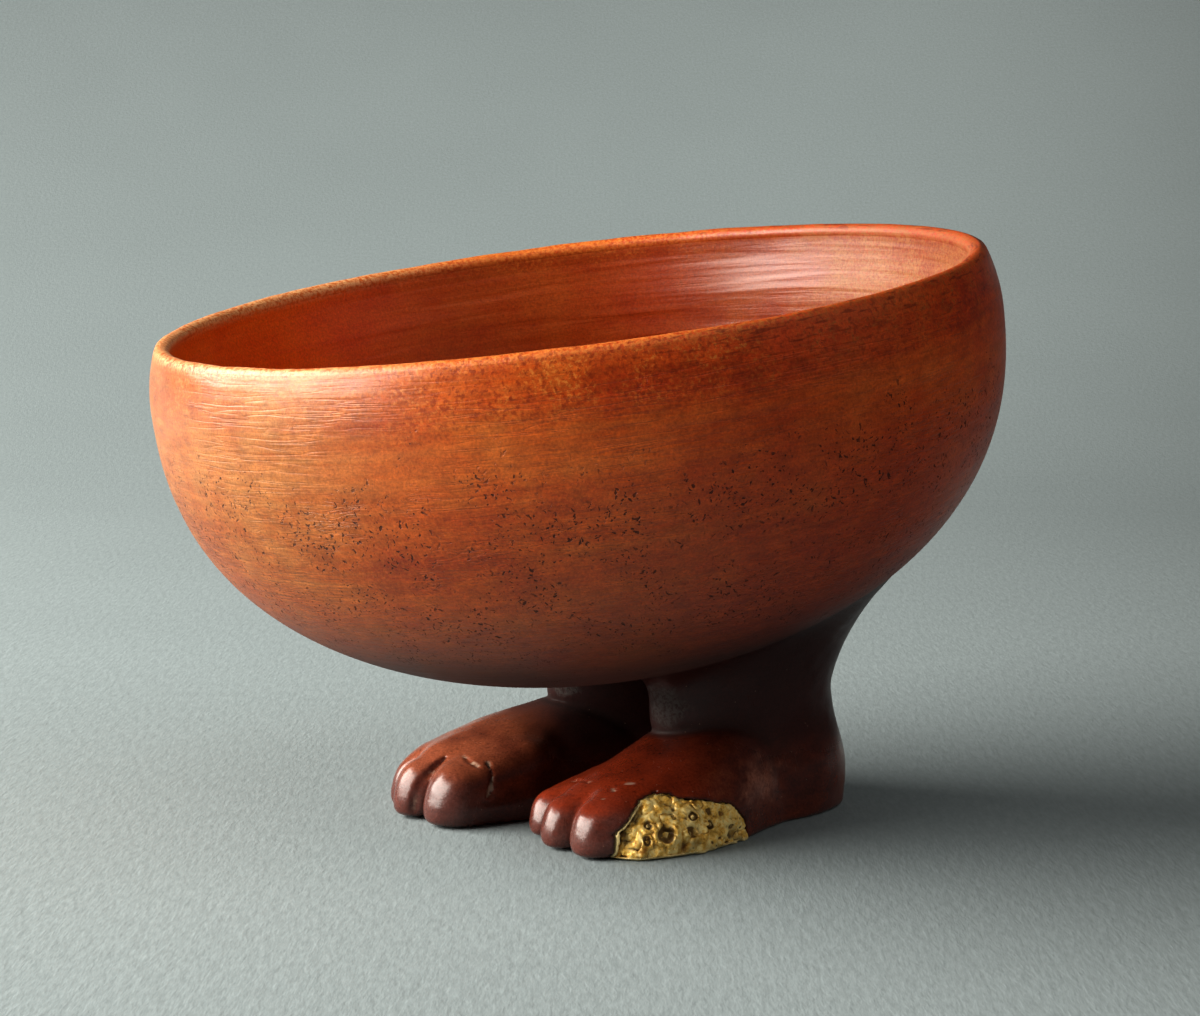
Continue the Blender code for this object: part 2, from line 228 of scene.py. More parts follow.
RIGHT = Foot(
    -1, (-13.0, 22.5), 6.0,
    [(-8.2, 44.4, 4.8, 2.0, 5.0, 5.1, 16, -1), (0.8, 45.0, 4.6, 3.0, 4.3, 4.8, 17, 0),
     (7.4, 42.0, 4.1, 2.2, 3.4, 4.1, 15, 3), (12.0, 37.0, 3.7, 2.0, 2.9, 3.7, 12, 6),
     (15.2, 32.0, 3.3, 1.6, 2.6, 3.3, 11, 9)],
    {"f": [-18, -12, -2, 6, 14, 22, 30, 39, 44], "hw": [7.5, 9.2, 10.2, 11, 12.2, 13.6, 14.2, 12.6, 11.4],
     "top": [10, 14, 18.2, 18.6, 17, 15, 12.8, 9.6, 7.8], "mid": [0, 0, 0.2, 0.5, 0.9, 1.3, 1.6, 1.2, 0.6],
     "front": 38.6, "slant": -0.14},
    dict(LEG, mid=[-3, -2.6, -2.1, -2.2, -2.8, -3.6, -5]), HEEL,
    [(0.55, 0.80, [(-2.2, 43.6, 2.0), (-2.7, 43.4, 4.6), (-2.9, 42.2, 6.8), (-2.6, 39.6, 8.4), (-2.6, 37.4, 9.2)]),
     (0.36, 0.40, [(-4.8, 36.0, 10.0), (-8.4, 37.0, 10.0), (-10.6, 36.8, 9.4)]),
     (0.32, 0.55, [(-10.8, 34.9, 9.7), (-12.1, 35.1, 8.2), (-12.7, 35.7, 6.7), (-12.9, 36.0, 5.2)])])


def feet_field(p):
    """Both feet's clay before the bowl: the left one has its break cut out."""
    ql = LEFT.local(p)
    dl = LEFT.form(p, ql)
    m = (ql[..., 0] > 5) & (ql[..., 1] > 9) & (ql[..., 2] < 12)
    if m.any():
        dl[m] = np.maximum(dl[m], -pocket(ql[m]))
    return smin(dl, RIGHT.form(p), 5.0)


def joined(p, d):
    """Feet melted into the underside of the bowl, more at the back."""
    b = bowl_out(p)
    f = 22.75 - p[..., 1]
    k = np.clip(through(f, [-30, -12, 0, 14], [22, 19, 10, 6]), 2, 40)
    h = np.maximum(k - np.abs(d - b), 0) / k
    return np.minimum(d, b) - h * h * k * 0.25 * (1 - ramp01(p[..., 2], 48, 66)), b, k


def pocket(q):
    """Where the left foot is broken away: negative inside."""
    o, f, z = q[..., 0], q[..., 1], q[..., 2]
    wander = 0.20 * noise(q * 0.9, 51) + 0.14 * noise(q * 2.1, 52)
    top = np.interp(f, [12.6, 13.8, 14.6, 16.0, 17.5, 20.4, 22.2, 24.8, 26.4, 27.2, 28.0, 30.0, 32.1, 33.3, 34.6, 36.6, 38.0],
                    [-1.5, 3.0, 3.9, 5.2, 6.4, 6.8, 7.5, 7.8, 8.1, 8.7, 8.9, 8.9, 8.6, 8.2, 7.9, 7.4, 7.0])
    inner = np.interp(f, [12.0, 28.0, 32.0], [10.8, 8.8, 9.3])
    ahead = (f - 38.4 + 1.35 * np.maximum(z - 4.4, 0)) * 0.65
    return np.maximum(np.maximum(inner - o, ahead), (z - top) * 0.8) + wander * 0.6


# ------------------------------------------------------------------ meshing
def in_slabs(fn, p, size=220000):
    return np.concatenate([fn(p[i:i + size]) for i in range(0, len(p), size)])


def skin_of(fn, lo, hi, step):
    """Surface net of a field: vertices near its zero and quads between them."""
    block = 8
    n = [int(np.ceil((hi[i] - lo[i]) / step / block)) for i in range(3)]
    shape = [k * block + 1 for k in n]
    ax = [lo[i] + step * np.arange(shape[i]) for i in range(3)]
    rough = np.stack(np.meshgrid(*[a[::block] for a in ax], indexing="ij"), -1)
    rv = in_slabs(fn, rough.reshape(-1, 3)).reshape(rough.shape[:3])
    least = np.full(n, 1e9)
    for i in (0, 1):
        for j in (0, 1):
            for k in (0, 1):
                least = np.minimum(least, np.abs(rv[i:n[0] + i, j:n[1] + j, k:n[2] + k]))
    mask = np.zeros(shape, bool)
    for i, j, k in np.argwhere(least < block * step * 1.45) * block:
        mask[i:i + block + 1, j:j + block + 1, k:k + block + 1] = True
    pick = [np.minimum(np.arange(shape[i]) // block, n[i]) for i in range(3)]
    v = np.where(rv[np.ix_(*pick)] < 0, -1e3, 1e3)
    at = np.argwhere(mask)
    v[mask] = in_slabs(fn, np.array(lo) + at * step)
    s = v < 0
    n = [a - 1 for a in v.shape]
    count = np.zeros(n, int)
    corners = [(i, j, k) for i in (0, 1) for j in (0, 1) for k in (0, 1)]
    for i, j, k in corners:
        count += s[i:n[0] + i, j:n[1] + j, k:n[2] + k]
    active = (count > 0) & (count < 8)
    at = np.argwhere(active)
    index = -np.ones(n, int)
    index[active] = np.arange(len(at))
    total, hits = np.zeros((len(at), 3)), np.zeros(len(at))
    for a in range(8):
        for b in range(a + 1, 8):
            ca, cb = np.array(corners[a]), np.array(corners[b])
            if np.abs(ca - cb).sum() != 1:
                continue
            va, vb = v[tuple((at + ca).T)], v[tuple((at + cb).T)]
            m = (va < 0) != (vb < 0)
            t = np.where(m, va / np.where(m, va - vb, 1), 0)
            total += np.where(m[:, None], ca + (cb - ca) * t[:, None], 0)
            hits += m
    verts = np.array(lo) + (at + total / hits[:, None]) * step
    faces = []
    for d in range(3):
        u, w = [(1, 2), (2, 0), (0, 1)][d]
        sa, sb = [slice(None)] * 3, [slice(None)] * 3
        sa[d], sb[d] = slice(0, -1), slice(1, None)
        a = s[tuple(sa)]
        e = np.argwhere(a != s[tuple(sb)])
        ok = (e[:, u] > 0) & (e[:, w] > 0) & (e[:, u] < v.shape[u] - 1) & (e[:, w] < v.shape[w] - 1)
        e = e[ok]
        du, dw = np.zeros(3, int), np.zeros(3, int)
        du[u], dw[w] = 1, 1
        q = np.stack([index[tuple((e - du - dw).T)], index[tuple((e - dw).T)],
                      index[tuple(e.T)], index[tuple((e - du).T)]], -1)
        flip = ~a[tuple(e.T)]
        q[flip] = q[flip][:, ::-1]
        faces.append(q)
    return verts, np.concatenate(faces)


def largest(verts, faces):
    """A net without its loose crumbs."""
    label = np.arange(len(verts))
    while True:
        low, new = label[faces].min(1), label.copy()
        for i in range(4):
            np.minimum.at(new, faces[:, i], low)
        new = new[new]
        if (new == label).all():
            break
        label = new
    keep = label == np.bincount(label).argmax()
    return verts[keep], (np.cumsum(keep) - 1)[faces[keep[faces].all(1)]]


def slope(fn, p, e):
    g = np.stack([in_slabs(fn, p + d) - in_slabs(fn, p - d) for d in np.eye(3) * e], -1) / (2 * e)
    return g


def settle(fn, p, step):
    """Moves net vertices onto the field's zero."""
    for _ in range(2):
        g = slope(fn, p, 0.05)
        move = in_slabs(fn, p)[:, None] * g / np.maximum((g * g).sum(-1, keepdims=True), 0.3)
        far = np.linalg.norm(move, axis=-1, keepdims=True)
        p = p - move * np.minimum(1, 0.45 * step / np.maximum(far, 1e-9))
    return p


def corner_normals(verts, faces):
    a, b, c, d = (verts[faces[:, i]] for i in range(4))
    n = np.cross(c - a, d - b)
    out = np.zeros_like(verts)
    for i in range(4):
        np.add.at(out, faces[:, i], n)
    return unit(out)


def unit(v):
    return v / np.maximum(np.linalg.norm(v, axis=-1, keepdims=True), 1e-12)


# ----------------------------------------------------------- bowl, as a mesh
def bowl_curve():
    """Profile (radius, height) from the inside bottom, over the lip, to the outside bottom."""
    t = np.linspace(0, pi / 2, 3000)
    rho = BELLY_R * np.sin(t) ** (2 / ROUND_SIDE)
    h = -BELLY_DEPTH * np.cos(t) ** (2 / ROUND_BASE)
    nr = ROUND_SIDE / BELLY_R * (rho / BELLY_R) ** (ROUND_SIDE - 1)
    nh = -ROUND_BASE / BELLY_DEPTH * (-h / BELLY_DEPTH) ** (ROUND_BASE - 1)
    h2 = np.linspace(0, LIP_H, 300)[1:]
    rho2 = BELLY_R * np.sqrt(1 - (h2 / SHOULDER) ** 2)
    rho, h = np.concatenate([rho, rho2]), np.concatenate([h, h2])
    nr = np.concatenate([nr, rho2 / BELLY_R ** 2])
    nh = np.concatenate([nh, h2 / SHOULDER ** 2])
    n = unit(np.stack([nr, nh], -1))
    out = np.stack([rho, h], -1)
    inn = out - n * through(h, WALL_H, WALL_T)[:, None]
    inn[:, 0] = np.maximum(inn[:, 0], 0)
    a, b = out[-1], inn[-1]
    mid, half = (a + b) / 2, (a - b) / 2
    up = np.array([-half[1], half[0]])
    th = np.linspace(0, pi, 60)[1:-1, None]
    c, d = np.cos(th), np.sin(th)
    lip = mid - half * np.sign(c) * np.abs(c) ** 0.8 + up * 0.95 * d ** 0.8
    return inn, lip, out[::-1]


def spaced(line, gap):
    s = np.concatenate([[0], np.cumsum(np.linalg.norm(np.diff(line, axis=0), axis=1))])
    k = np.linspace(0, s[-1], max(3, int(round(s[-1] / gap)) + 1))
    return np.stack([np.interp(k, s, line[:, i]) for i in (0, 1)], -1)


def bowl_rings():
    inn, lip, out = bowl_curve()
    g = 1.0 if FINE else 1.8
    return np.concatenate([spaced(inn, 1.05 * g), spaced(lip, 0.5 * g), spaced(out, 0.74 * g)])


INN, LIP, OUT = bowl_curve()
_y = np.concatenate([LIP, OUT])
SHIFT = ((_y[:, 0] * cos(LEAN) - _y[:, 1] * sin(LEAN)).max()
         + (-_y[:, 0] * cos(LEAN) - _y[:, 1] * sin(LEAN)).min()) / 2


def from_lip(p):
    """Distance down the outer wall from the lip's top, for points near that wall."""
    x, y, h = bowl_local(p)
    line = np.concatenate([LIP[len(LIP) // 2:], OUT])
    s = np.concatenate([[0], np.cumsum(np.linalg.norm(np.diff(line, axis=0), axis=1))])
    turn = np.arctan2(line[:, 0], -line[:, 1])
    order = np.argsort(turn)
    return np.interp(np.arctan2(np.sqrt(x * x + y * y), -h), turn[order], s[order])


def round_map(p, s):
    """Coordinates that follow the burnishing: round the bowl and down its wall."""
    x, y, _ = bowl_local(p)
    a = np.arctan2(y, x)
    return np.stack([60 * np.cos(a), 60 * np.sin(a), s], -1)


def place(verts):
    return (verts - np.array([0.0, SHIFT, 0.0])) * MM


def make(name, verts, faces, normals, floats, vectors, material, uv=None):
    mesh = bpy.data.meshes.new(name)
    mesh.from_pydata(place(verts).tolist(), [], [list(f) for f in faces])
    mesh.update()
    mesh.shade_smooth()
    for key, value in floats.items():
        mesh.attributes.new(key, "FLOAT", "POINT").data.foreach_set("value", value.astype(np.float32))
    for key, value in vectors.items():
        mesh.attributes.new(key, "FLOAT_VECTOR", "POINT").data.foreach_set("vector", value.astype(np.float32).ravel())
    if uv is not None:
        mesh.uv_layers.new(name="OFBake").data.foreach_set("uv", uv.astype(np.float32).ravel())
    if normals is not None:
        mesh.normals_split_custom_set_from_vertices(unit(normals).tolist())
    mesh.materials.append(material)
    obj = bpy.data.objects.new(name, mesh)
    bpy.context.scene.collection.objects.link(obj)
    return obj


def build_bowl(material):
    prof = bowl_rings()
    n, seg = len(prof), (384 if FINE else 192)
    tan = np.gradient(prof, axis=0)
    nrm = unit(np.stack([-tan[:, 1], tan[:, 0]], -1))
    run = np.concatenate([[0], np.cumsum(np.linalg.norm(np.diff(prof, axis=0), axis=1))])
    s = run - run[np.argmax(prof[:, 1])]
    th = np.arange(seg) / seg * 2 * pi
    inner = prof[1:-1]
    c, d = np.cos(th), np.sin(th)
    loc = np.stack([inner[:, None, 0] * c, inner[:, None, 0] * d, np.repeat(inner[:, None, 1], seg, 1)], -1)
    nl = np.stack([nrm[1:-1, None, 0] * c, nrm[1:-1, None, 0] * d, np.repeat(nrm[1:-1, None, 1], seg, 1)], -1)
    ss = np.repeat(s[1:-1, None], seg, 1)
    loc = np.concatenate([loc.reshape(-1, 3), [[0, 0, prof[0, 1]], [0, 0, prof[-1, 1]]]])
    nl = np.concatenate([nl.reshape(-1, 3), [[0, 0, 1.0], [0, 0, -1.0]]])
    ss = np.concatenate([ss.ravel(), [s[0], s[-1]]])

    def out_of(q):
        return np.stack([q[:, 0], q[:, 1] * cos(LEAN) - q[:, 2] * sin(LEAN),
                         q[:, 1] * sin(LEAN) + q[:, 2] * cos(LEAN)], -1)
    world = out_of(loc) + np.array([0, 0, BELLY_Z])
    near = in_slabs(feet_field, world)
    turn = round_map(world, ss)
    # hand-built unevenness, burnishing facets and a lip that isn't quite even
    free = np.where(ss > 0, ramp01(near, 23, 36), 1.0)
    lipness = 1 - ramp01(np.abs(ss), 2.0, 7.0)
    rise = (0.20 * noise(loc * 0.021, 1) + 0.07 * noise(loc * 0.06, 2)
            + 0.030 * noise(turn * np.array([0.045, 0.045, 0.34]), 3)
            + 0.016 * noise(turn * np.array([0.08, 0.08, 0.66]), 4)
            + lipness * (0.10 * noise(loc * 0.12, 5) + 0.05 * noise(loc * 0.33, 6)))
    rise = rise * free
    world = world + out_of(nl) * rise[:, None]
    i = np.arange(n - 3)[:, None] * seg
    j = np.arange(seg)[None, :]
    k = (j + 1) % seg
    quads = np.stack([i + j, i + seg + j, i + seg + k, i + k], -1).reshape(-1, 4)
    normals = corner_normals(world, quads)
    top, end = len(world) - 2, len(world) - 1
    jj = np.arange(seg)
    kk = (jj + 1) % seg
    caps = np.concatenate([np.stack([np.full(seg, top), jj, kk], -1),
                           np.stack([np.full(seg, end), (n - 3) * seg + kk, (n - 3) * seg + jj], -1)])
    normals[top], normals[end] = AXIS, -AXIS
    # the underside's shading runs on into the feet's
    blend = np.where(ss > 0, 1 - ramp01(near, 16, 26), 0.0)
    hot = blend > 0
    smooth_n = unit(slope(lambda p: joined(p, feet_field(p))[0], world[hot], 0.12))
    normals[hot] = unit(normals[hot] * (1 - blend[hot, None]) + smooth_n * blend[hot, None])
    leg = np.where(ss > 0, 1 - ramp01(near, 1, 22), 0.0)
    v = np.concatenate([run[1:-1] / run[-1]])
    uq = np.stack([np.repeat(np.stack([jj, jj, jj + 1, jj + 1], -1)[None], n - 3, 0) / seg,
                   np.stack([np.repeat(v[:-1, None], seg, 1), np.repeat(v[1:, None], seg, 1),
                             np.repeat(v[1:, None], seg, 1), np.repeat(v[:-1, None], seg, 1)], -1)], -1).reshape(-1, 2)
    one, zero = np.ones(seg), np.zeros(seg)
    uc = np.concatenate([
        np.stack([np.stack([(jj + 0.5) / seg, jj / seg, (jj + 1) / seg], -1),
                  np.stack([zero, zero + v[0], zero + v[0]], -1)], -1).reshape(-1, 2),
        np.stack([np.stack([(jj + 0.5) / seg, (jj + 1) / seg, jj / seg], -1),
                  np.stack([one, zero + v[-1], zero + v[-1]], -1)], -1).reshape(-1, 2)])
    faces = [list(map(int, q)) for q in quads] + [list(map(int, q)) for q in caps]
    # the bowl's outer wall is marked high, so it takes the legs' painted shade where it blends into them
    return make("bowl_shell", world, faces, normals, {"leg": leg, "high": (ss > 0) * 1.0}, {"turn": turn}, material,
                np.concatenate([uq, uc]))


def build_foot(name, which, material):
    left = which == "left"
    seam = -0.1
    step = 0.40 if FINE else 0.8

    def body(p):
        d = feet_field(p)
        m, b, k = joined(p, d)
        thin = np.minimum(10 * (0.02 - np.minimum(d, b) + m), d - b)
        m = np.maximum(m + 0.05 * (1 - ramp01(b - m, 0.0, 0.2)), thin)
        m = np.maximum(m, -(b + 1.2))
        m = np.maximum(m, d - (k + 0.8))
        side = (seam + 0.01 - p[..., 0]) if left else (p[..., 0] - seam + 0.01)
        return np.maximum(np.maximum(m, side), -p[..., 2])

    def calm(p):
        d = feet_field(p)
        m, _, _ = joined(p, d)
        return np.maximum(m, -p[..., 2])
    lo = (seam - 1.2, -26.0, -1.0) if left else (-56.0, -28.0, -1.0)
    hi = (56.0, 70.0, 68.0) if left else (seam + 1.2, 70.0, 68.0)
    verts, faces = skin_of(body, lo, hi, step)
    verts = settle(body, verts, step)
    normals = corner_normals(verts, faces)
    d, b = in_slabs(feet_field, verts), bowl_out(verts)
    # small unevenness left by the modelling fingers, none at the seam, sole or break
    q = (LEFT if left else RIGHT).local(verts)
    free = ramp01(b, 0.6, 5.0) * ramp01(verts[:, 2], 0.3, 2.5)
    if left:
        free = free * ramp01(pocket(q), 0.6, 1.6)
    rise = free * (0.16 * noise(verts * 0.13, 21) + 0.06 * noise(verts * 0.4, 22))
    verts = verts + normals * rise[:, None]
    normals = corner_normals(verts, faces)
    w = (1 - ramp01(b, 1.5, 6.0))[:, None]
    hot = w[:, 0] > 0
    soft = unit(slope(calm, verts[hot], 0.12))
    normals[hot] = unit(normals[hot] * (1 - w[hot]) + soft * w[hot])
    leg = 1 - ramp01(d, 1, 22)
    turn = round_map(verts, from_lip(verts))
    foot = LEFT if left else RIGHT
    # rougher scuffed patches where the leg meets the bowl, painted grey as a painted reflection of the window, and
    # pale chips along the creases
    spots = (((0.8, 17.5, 19.6), (4.6, 4.0, 4.8)),) if left else (((-2.8, 15.2, 19.4), (3.2, 2.8, 2.2)),)
    scuff_and_sheen = np.zeros(len(verts))
    for c, r in spots:
        t = np.linalg.norm((q - np.array(c)) / np.array(r), axis=-1)
        scuff_and_sheen = np.maximum(scuff_and_sheen, 1 - ramp01(t + 0.26 * noise(q * 0.5, 61) + 0.20 * noise(q * 1.4, 62), 0.60, 1.0))
    # a lighter rubbed patch at the ankle and heel, made lighter still as painted light on the shaded heel
    rub = np.linalg.norm((q - np.array((12.4, 8.0, 8.2))) / np.array((6.0, 6.5, 4.6)), axis=-1)
    rubbed = 1 - ramp01(rub + 0.42 * noise(q * 0.42, 66) + 0.30 * noise(q * 1.1, 68), 0.15, 1.15)
    toe = ramp01(q[:, 1], *((30.0, 38.0) if left else (35.0, 42.0))) * (1 - 0.65 * ramp01(normals[:, 2], 0.30, 0.80))
    chip = np.zeros(len(verts))
    near = q[:, 1] > 24
    for width, depth, line in foot.creases:
        far = np.min([capsule(q[near], a, b) for a, b in zip(line[:-1], line[1:])], axis=0)
        flake = ramp01(noise(q[near] * 1.1, 63) + 0.5 * noise(q[near] * 2.7, 64), 0.12, 0.34)
        chip[near] = np.maximum(chip[near], (1 - ramp01(far, 0.28, 0.62)) * flake)
    # painted light: the upward-facing instep tops, where the window lights them
    lit_instep = (ramp01(normals[:, 2], 0.15, 0.75) * (1 - ramp01(verts[:, 2], 17.0, 21.0))
             * ramp01(q[:, 1] - 0.8 * np.abs(q[:, 0]), 2.0, 24.0))
    shin = (1 - ramp01(foot.shank(q) - foot.sole_and_instep(q), -1.6, 0.6)) * ramp01(verts[:, 2], 8.0, 15.0)
    # painted shade: the legs up under the bowl, and the back of the right foot between the feet, are marked for a
    # nearly black colour
    high = np.maximum(ramp01(verts[:, 2] + 2.5 * noise(verts * 0.12, 65), 12.0, 24.0) * (1 - lit_instep), 0.95 * shin)
    if not left:
        high = np.maximum(high, 0.9 * (1 - ramp01(q[:, 1] + 1.5 * noise(q * 0.3, 67), 15.0, 27.0)) * ramp01(verts[:, 2], 7.0, 12.0))
    # painted shade: the crease where the leg meets the instep is marked to be painted darker
    shaded_crease = (np.exp(-((foot.shank(q) - foot.sole_and_instep(q)) / 1.1) ** 2) * ramp01(q[:, 1], -4.0, 8.0)
            * ramp01(verts[:, 2], 10.0, 13.0))
    broken = np.zeros(len(verts))
    if left:
        broken = 1 - ramp01(np.abs(pocket(q)), 0.10, 0.5)
    return make(name, verts, faces, normals, {"leg": leg, "broken": broken, "scuff_and_sheen": scuff_and_sheen, "chip": chip,
                                              "lit_instep": lit_instep, "high": high,
                                              "rubbed": rubbed, "toe": toe, "shaded_crease": shaded_crease}, {"turn": turn}, material)


def build_mend(material):
    """Bubbly plate, flush with the side of the foot that it makes up."""
    step = 0.15 if FINE else 0.3
    rng = np.random.default_rng(7)
    spots = [(31.4, 3.7, 1.5), (33.5, 5.1, 0.85), (34.5, 3.1, 0.85), (27.1, 3.5, 1.0), (23.2, 4.1, 0.8),
             (20.2, 5.3, 0.5), (25.9, 5.7, 0.8), (31.3, 7.5, 0.5), (18.2, 3.0, 0.6), (29.2, 5.9, 0.55)]
    while len(spots) < 52:
        f, z, r = rng.uniform(14.4, 36.0), rng.uniform(0.8, 8.2), rng.uniform(0.20, 0.44)
        if all((f - a) ** 2 + (z - b) ** 2 > (r + c) ** 2 for a, b, c in spots):
            spots.append((f, z, r))
    holes = []
    for f, z, r in spots:
        hw, top, mid = (float(through(f, LEFT.body["f"], LEFT.body[n])) for n in ("hw", "top", "mid"))
        holes.append(((mid + hw * (1 - min(z / top, 0.97) ** 2.3) ** (1 / 2.3) - 0.1, f, z), r))
    crack = [(12.9, 26.9, 8.8), (13.0, 26.9, 8.2), (14.4, 27.4, 6.8), (15.2, 26.9, 5.8), (15.8, 25.5, 5.1), (16.1, 23.1, 4.5)]

    def whole(q):
        return LEFT.form(None, q)

    def dents(q):
        out = np.zeros(q.shape[:-1])
        q = q + np.stack([0 * q[..., 0], 0.24 * noise(q * 1.1, 41), 0.24 * noise(q * 1.1, 42)], -1)
        for k, (c, r) in enumerate(holes):
            t = np.linalg.norm(q - np.array(c), axis=-1) / r
            if k < 10:
                out = out + 0.36 * r ** 0.7 * np.exp(-((t - 0.66) / 0.24) ** 2) - 0.14 * r * np.exp(-((t - 1.14) / 0.2) ** 2)
            else:
                out = out + 0.60 * r * np.clip(1 - t * t, 0, 1) ** 1.5 - 0.12 * r * np.exp(-((t - 1.1) / 0.25) ** 2)
        return out

    def bubbles(q):
        fold = np.abs(noise(q * 0.85, 36))
        return (0.20 * noise(q * 0.55, 31) + 0.20 * np.clip(1 - 3.6 * fold, 0, 1) - 0.16 * fold
                + 0.15 * noise(q * 1.2, 32) + 0.025 * noise(q * 3.2, 33))

    def field(p):
        q = LEFT.local(p)
        f, z = q[..., 1], q[..., 2]
        side = whole(q)
        edge = 0.22 * noise(q * 1.0, 34) + 0.14 * noise(q * 2.4, 35)
        into = pocket(q)
        # a slit is open at the toe end, behind a thin lip of the fill
        slit = 0.95 * ramp01(f, 32.2, 33.6) * ramp01(z, 1.2, 2.8) * (1 - ramp01(z, 7.0, 8.2))
        d = smax(side + 0.10 + 1.3 * bubbles(q) + dents(q), into + 0.07 + edge * 0.7 + slit,
                 0.22 + 1.3 * ramp01(f, 30.5, 34.0))
        for a, b in zip(crack[:-1], crack[1:]):
            d = np.maximum(d, 0.15 - capsule(q, a, b))
        strip = np.maximum(np.maximum(np.abs(side + 0.38) - 0.30, np.abs(into + 0.24) - 0.13), 32.2 - f)
        foot_line = np.maximum(np.maximum(side + 0.02, z - 0.55 - 0.1 * edge), into + 0.30)
        return np.maximum(np.minimum(np.minimum(d, strip), foot_line), 0.12 - z)
    lo, hi = (19.0, -19.0, -0.6), (34.0, 14.0, 10.6)
    verts, faces = largest(*skin_of(field, lo, hi, step))
    verts = settle(field, verts, step)
    normals = corner_normals(verts, faces)
    q = LEFT.local(verts)
    sunk = whole(q)
    # darkening of the gilt fill: its own brown rings round the craters; painted shade in its hollows, in the sunken
    # slit and along its bottom; and darker in patches towards its back end
    low = 0.55 * ramp01(noise(q * 0.45, 37), 0.05, 0.55) * (1 - ramp01(q[:, 2], 1.6, 3.4))
    about = np.max([np.exp(-(np.linalg.norm(q - np.array(c), axis=-1) / (1.5 * r)) ** 2) for c, r in holes[:10]], axis=0)
    brown_and_shade = np.clip(1.2 * ramp01(dents(q), 0.03, 0.22) + 0.9 * ramp01(bubbles(q), 0.12, 0.32) + low + 0.40 * about
                   + 0.48 * ramp01(noise(q * 0.30, 38), -0.1, 0.5) * (1 - ramp01(q[:, 1], 20.0, 30.0))
                   + ramp01(sunk, -0.55, -1.0), 0, 1)
    rim = np.maximum(1 - ramp01(q[:, 2], 0.4, 0.7), ramp01(q[:, 1], 32.2, 33.0) * (1 - ramp01(np.abs(pocket(q) + 0.24), 0.16, 0.30)))
    return make("toe_mend_gilt", verts, faces, normals, {"brown_and_shade": brown_and_shade, "rim": rim}, {}, material)


